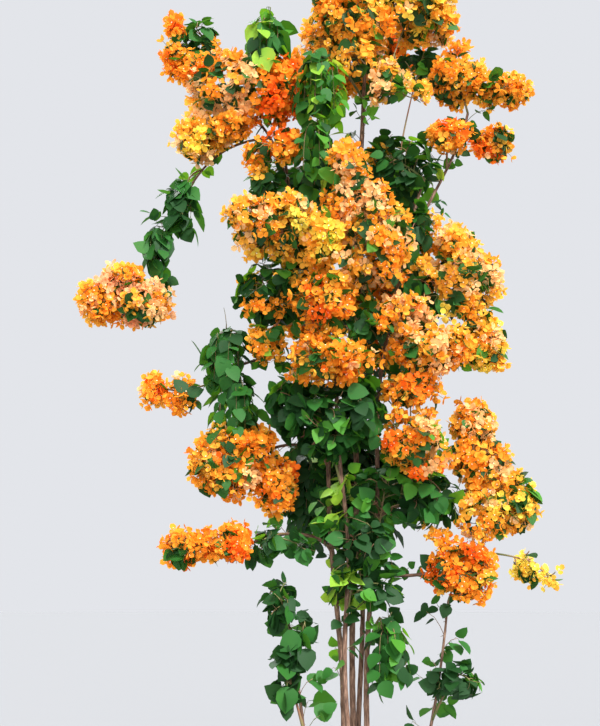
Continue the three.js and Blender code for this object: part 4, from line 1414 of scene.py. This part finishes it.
# %% [markdown]
# ## Leaves along the sprays
# Leaves stand alternately along a twig, on short stalks, and turn their faces outwards to the light
# and a little upwards. They droop with their weight, and much more so in a weeping mass. A leaf
# that would leave its mass's space or touch a limb is left out. Geometry nodes could scatter leaves
# on the twigs too, but these rules are easier to read in a few lines of Python.

# %% How a leaf stands
LEAF_WAY = (0.45, 0.75, 0.35)  # how much it grows along its twig, to the side and outwards
LEAF_FACE = (0.9, 0.55, 0.3)  # how much its face looks outwards, up and by chance
LEAF_DROOP = {"weeping": 0.8, "upright": 0.4}
DROOP_CHANCE = (0.4, 1.3)
LIMB_CLEARANCE = 0.012

# where a shape is stamped, its three axes and its size, its mass's node and its stalk's length
Stand = namedtuple("Stand", "place axes size node stalk", defaults=[0])
leaves = {shade: [] for shade in LEAF_SHADES}
limb_tree = kdtree.KDTree(sum(len(route.points) for route, _ in limbs.values()))
for route, _ in limbs.values():
    for point in route.points:
        limb_tree.insert(point, 0)
limb_tree.balance()


def across(direction, random):
    """A direction at right angles to the given one, by chance."""
    other = random.normal(size=3)
    return unit(other - direction * other.dot(direction))


def leaf_stand(mass, facing, heading, side, random):
    """The directions in which a leaf grows and in which its upper face looks."""
    droop = LEAF_DROOP["weeping" if mass["weeping"] else "upright"] * random.uniform(*DROOP_CHANCE)
    on, aside, outwards = LEAF_WAY
    along = unit(heading * on + side * aside + facing * outwards - np.array([0, 0, droop]))
    outwards, upwards, chance = LEAF_FACE
    face = facing * outwards + np.array([0, 0, upwards]) + random.normal(size=3) * chance
    return along, unit(face - along * face.dot(along))


def place_leaf(mass, shade, root, along, face, length, edge):
    """Adds a leaf if it keeps clear of the limbs and, where an edge is given, in its mass's space."""
    tip = root + along * length * (1 + LEAF_STALK)
    if edge and not in_own_space(mass, tip, edge):
        return
    if limb_tree.find((root + tip) / 2)[2] < LIMB_CLEARANCE:
        return
    leaves[shade].append(Stand(root, (np.cross(along, face), along, face), length, mass["node"]))


print("leaves keep clear of", sum(len(route.points) for route, _ in limbs.values()), "points on the limbs")

# %% Place the leaves
LEAF_LENGTH = (0.046, 0.08)
LENGTH_CHANCE = (0.8, 1.15)
SIDE_CHANCE = 0.35
KEEPS_SHADE = 0.8  # the share of leaves that have their spray's shade
LEAF_EVERY = 0.031  # metres along a spray or strand
FEWEST_LEAVES = 5
LEAVES_FROM = 0.15  # where on its length they start
UNDER_BLOOM = (0.3, 0.75)  # where on a spray in bloom its two leaves stand
ON_FIRST_TWIG = {"sparse": (0.65,), "full": (0.35, 0.65, 0.95)}
INNER_SIZE = 0.95


def leaves_along(mass, random, route, facing, shade, shares, size=1.0, edge=EDGE):
    """Leaves on alternate sides of a twig."""
    side = across(route.heading(0.5), random)
    for share in shares:
        heading = route.heading(share)
        side = unit(-side + heading * side.dot(heading) + random.normal(size=3) * SIDE_CHANCE)
        hue = shade if random.random() < KEEPS_SHADE else random.choice(["dark", "mid"])
        length = size * mass["leaf_size"] * random.uniform(*LENGTH_CHANCE) * random.uniform(*LEAF_LENGTH)
        stand = leaf_stand(mass, facing, heading, side, random)
        place_leaf(mass, hue, route.at(share), *stand, length, edge)


for spray in sprays:
    shares = UNDER_BLOOM
    if not spray["blooms"]:
        count = max(FEWEST_LEAVES, round(spray["route"].length / LEAF_EVERY))
        shares = np.linspace(LEAVES_FROM, 1, count)
    leaves_along(spray["tuft"]["mass"], spray["tuft"]["random"], spray["route"], spray["facing"],
                 spray["leaf_shade"], shares, edge=spray["edge"])
# the leaves on the first twigs, deep inside each tuft, are all dark green: painted shade for the inside of
# the crown
for tuft in tufts:
    shares = ON_FIRST_TWIG["sparse" if tuft["mass"]["weeping"] or tuft["blooms"] else "full"]
    for route in tuft["twigs"]:
        facing = unit(route.points[-1] - tuft["centre"])
        leaves_along(tuft["mass"], tuft["random"], route, facing, "dark", shares, INNER_SIZE)
print({shade: len(found) for shade, found in leaves.items()}, "leaves")

# %% [markdown]
# ## Leaves and thorns along the boughs
# Between the masses a bough isn't bare: short side shoots with a few leaves stand all along it, and
# beside each of them a curved thorn, as long as a fingernail. They could be masses of their own,
# but they are so small that they are counted to the mass of that limb that is nearest. Long shoots
# that weep have them from near the ground upwards.

# %% Short side shoots and thorns
SIDE_SHOOT_EVERY = 0.05
MOVED = 0.3  # how far by chance, as a share of that
SIDE_SHOOT_LENGTH = (0.03, 0.075)
SIDE_SHOOT_RADII = (0.0016, 0.001)
SIDE_SHOOT_LEAVES = (0.6, 0.85, 1.0)  # where on it they stand, as a share of its length
SIDE_LEAF_SIZE = 0.85
SIDE_SHOOT_WAY = (0.7, 0.25)  # how much it grows along the limb, and upwards
SIDE_SHOOT_ARCH = 0.1
THORN_LENGTH = (0.011, 0.019)
THORN_RADII = (0.0018, 0.0012, 0.0003)
THORN_FOOT = 0.7  # of the limb's radius, so that it starts inside the bark
THORN_WAY = (0.9, 0.4)  # how much it grows away from the limb, and back along it
THORN_BEND = 0.002
LEAFY_FROM = {"bough": 0.22, "shoot": 0.42, "stem": 0.5}  # as a share of the limb's length
LEAFY_LOW = {"stem_left": 0.2, "stem_right": 0.27}  # these two have leaves lower down
LEAFY_TO = 0.97

side_random = np.random.default_rng(5)
for name, (route, thick) in limbs.items():
    carried = [mass for mass in masses if mass["limb"] == name]
    if not carried:
        continue
    leafy_from = LEAFY_LOW.get(name, LEAFY_FROM[name.split("_")[0]])
    for share in np.arange(leafy_from, LEAFY_TO, SIDE_SHOOT_EVERY / route.length):
        share += side_random.uniform(-MOVED, MOVED) * SIDE_SHOOT_EVERY / route.length
        root, heading = route.at(share), route.heading(share)
        side = across(heading, side_random)
        mass = min(carried, key=lambda m: np.linalg.norm(m["tufts"][0]["centre"] - root))
        way = side + heading * SIDE_SHOOT_WAY[0] + (0, 0, SIDE_SHOOT_WAY[1])
        tip = root + way * side_random.uniform(*SIDE_SHOOT_LENGTH)
        shoot = twig_route(root, heading, tip, SIDE_SHOOT_ARCH)
        add_twig(shoot, SIDE_SHOOT_RADII, rings=4)
        green = pick_shade(LEAF_HUES[mass["green"]], tip, side_random)
        leaves_along(mass, side_random, shoot, side, green, SIDE_SHOOT_LEAVES, SIDE_LEAF_SIZE, edge=None)
        limb_radius = radius_at(thick, share)
        way = side * THORN_WAY[0] - heading * THORN_WAY[1]
        point = root + way * (limb_radius + side_random.uniform(*THORN_LENGTH))
        middle = (root + point) / 2 + heading * THORN_BEND
        thorn = np.stack([root + side * limb_radius * THORN_FOOT, middle, point])
        twig_sheaf.add(*tube(thorn, THORN_RADII, 4))
print({shade: len(found) for shade, found in leaves.items()}, "leaves with those along the limbs")

# %% [markdown]
# ## Heads of bloom
# At a spray's end a dozen or more blossoms open side by side in a loose ball, a bit smaller than a
# fist. Each has its own thin stalk and faces away from the middle of the ball, and most point
# outwards, where the light is. One ready-made head, copied, would save work, but the copies show.

# %% Place the blossoms
BLOSSOMS_PER_HEAD = (10, 18)
FEW_BLOSSOMS = (3, 6)  # on a straggling spray
HEAD_WRAP = 1.35  # how far round the ball they stand; 2 would be all round
HEAD_CHANCE = 0.22
HEAD_RADIUS = (0.01, 0.044)
LOOK = (0.3, 0.3)  # how much a blossom looks outwards, and by chance
OTHER_SHADE = 0.2  # the share of blossoms in another shade of their mass
BRACT_LENGTH = (0.017, 0.026)

blossoms = {shade: [] for shade in BRACT_SHADES}


def bloom_axes(facing, random):
    """Three directions: two across the facing one, turned by chance, and the facing one."""
    side = across(facing, random)
    return side, np.cross(facing, side), facing


for spray in sprays:
    if not spray["blooms"]:
        continue
    mass, random = spray["tuft"]["mass"], spray["tuft"]["random"]
    middle = spray["route"].points[-1]
    count = random.integers(*(FEW_BLOSSOMS if spray["straggles"] else BLOSSOMS_PER_HEAD), endpoint=True)
    side, other, facing = bloom_axes(spray["facing"], random)
    for k in range(count):
        height = 1 - HEAD_WRAP * (k + 0.5) / count
        width = math.sqrt(1 - height ** 2)
        turn = k * GOLDEN_ANGLE
        out = side * width * math.cos(turn) + other * width * math.sin(turn) + facing * height
        out = unit(out + random.normal(size=3) * HEAD_CHANCE)
        place = middle + out * random.uniform(*HEAD_RADIUS)
        if not in_own_space(mass, place, spray["edge"]):
            continue
        look = unit(out + facing * LOOK[0] + random.normal(size=3) * LOOK[1])
        shade = spray["bloom_shade"]
        if random.random() < OTHER_SHADE:
            shade = random.choice(BLOOM_HUES[mass["hue"]])
        axes, length = bloom_axes(look, random), random.uniform(*BRACT_LENGTH)
        blossoms[shade].append(Stand(place, axes, length, mass["node"], np.linalg.norm(place - middle)))
print({shade: len(found) for shade, found in blossoms.items()}, "blossoms")

# %% [markdown]
# ## Stamp, join and hand over
# Every leaf and blossom is now a place, three directions and a size. Multiplying the small drawn
# shapes by these gives all points at once. Each shade becomes one piece, and each piece says which
# solids it stands for. Instances of one object would be lighter, but one mesh is simpler to export.

# %% Stamp a shape many times
stamp_random = np.random.default_rng(8)
all_blossoms = [stand for found in blossoms.values() for stand in found]


def stamped(shapes, triangles, stands):
    """Copies a variation of the shape to each stand, at the stand's size or its three sizes."""
    places = np.array([stand.place for stand in stands])
    axes = np.array([stand.axes for stand in stands])
    sizes = np.array([stand.size for stand in stands]).reshape(len(stands), 1, -1)
    chosen = shapes[stamp_random.integers(len(shapes), size=len(stands))] * sizes
    points = places[:, None] + np.einsum("nvi,nij->nvj", chosen, axes)
    offsets = np.arange(len(stands))[:, None, None] * shapes.shape[1]
    return points.reshape(-1, 3), (triangles[None] + offsets).reshape(-1, 3)


def hand_over(piece, nodes):
    """Lets a piece ride with the plant and stand for its solids."""
    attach(piece, "root")
    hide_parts(*sorted(set(nodes)))
    print(piece.name, len(piece.data.polygons), "faces for", len(set(nodes)), "solids")


def stamp_piece(name, shapes, triangles, stands, material):
    """Makes one piece of a shape at all its stands and hands it over."""
    piece = make_piece(name, *stamped(shapes, triangles, stands), material)
    hand_over(piece, [stand.node for stand in stands])


print(len(all_blossoms), "blossoms to stamp")

# %% The pieces of wood
PEDICEL_WIDTH = 0.045  # times the drawn stalk's

limb_bark = make_piece("limb_bark", *bark_sheaf.arrays(), bark)
give_grain(limb_bark.data, np.concatenate(bark_sheaf.grains))
hand_over(crown, ["root_crown"])
hand_over(limb_bark, list(limbs))
stalks = [stand._replace(size=(PEDICEL_WIDTH, PEDICEL_WIDTH, stand.stalk)) for stand in all_blossoms]
stamp_piece("blossom_stalks", pedicel_points, stalk_triangles, stalks, young_wood)
hand_over(make_piece("twigs", *twig_sheaf.arrays(), young_wood), [mass["node"] for mass in masses])

# %% The pieces of leaf, bract and flower
FLOWER_SHARE = 0.5  # of the blossoms, whose flower is open
FLOWER_SIZE = 0.4  # of the bract's length

for shade, found in leaves.items():
    if found:
        leaf = leaf_materials[shade]
        stamp_piece("leaves_" + shade, leaf_points, leaf_triangles, found, leaf)
for shade, found in blossoms.items():
    if found:
        bract = bract_materials[shade]
        stamp_piece("bracts_" + shade, bracts_points, bracts_triangles, found, bract)
flowers = [stand._replace(size=FLOWER_SIZE * stand.size) for stand in all_blossoms
           if stamp_random.random() < FLOWER_SHARE]
stamp_piece("flowers", flower_points, flower_triangles, flowers, flower_material)
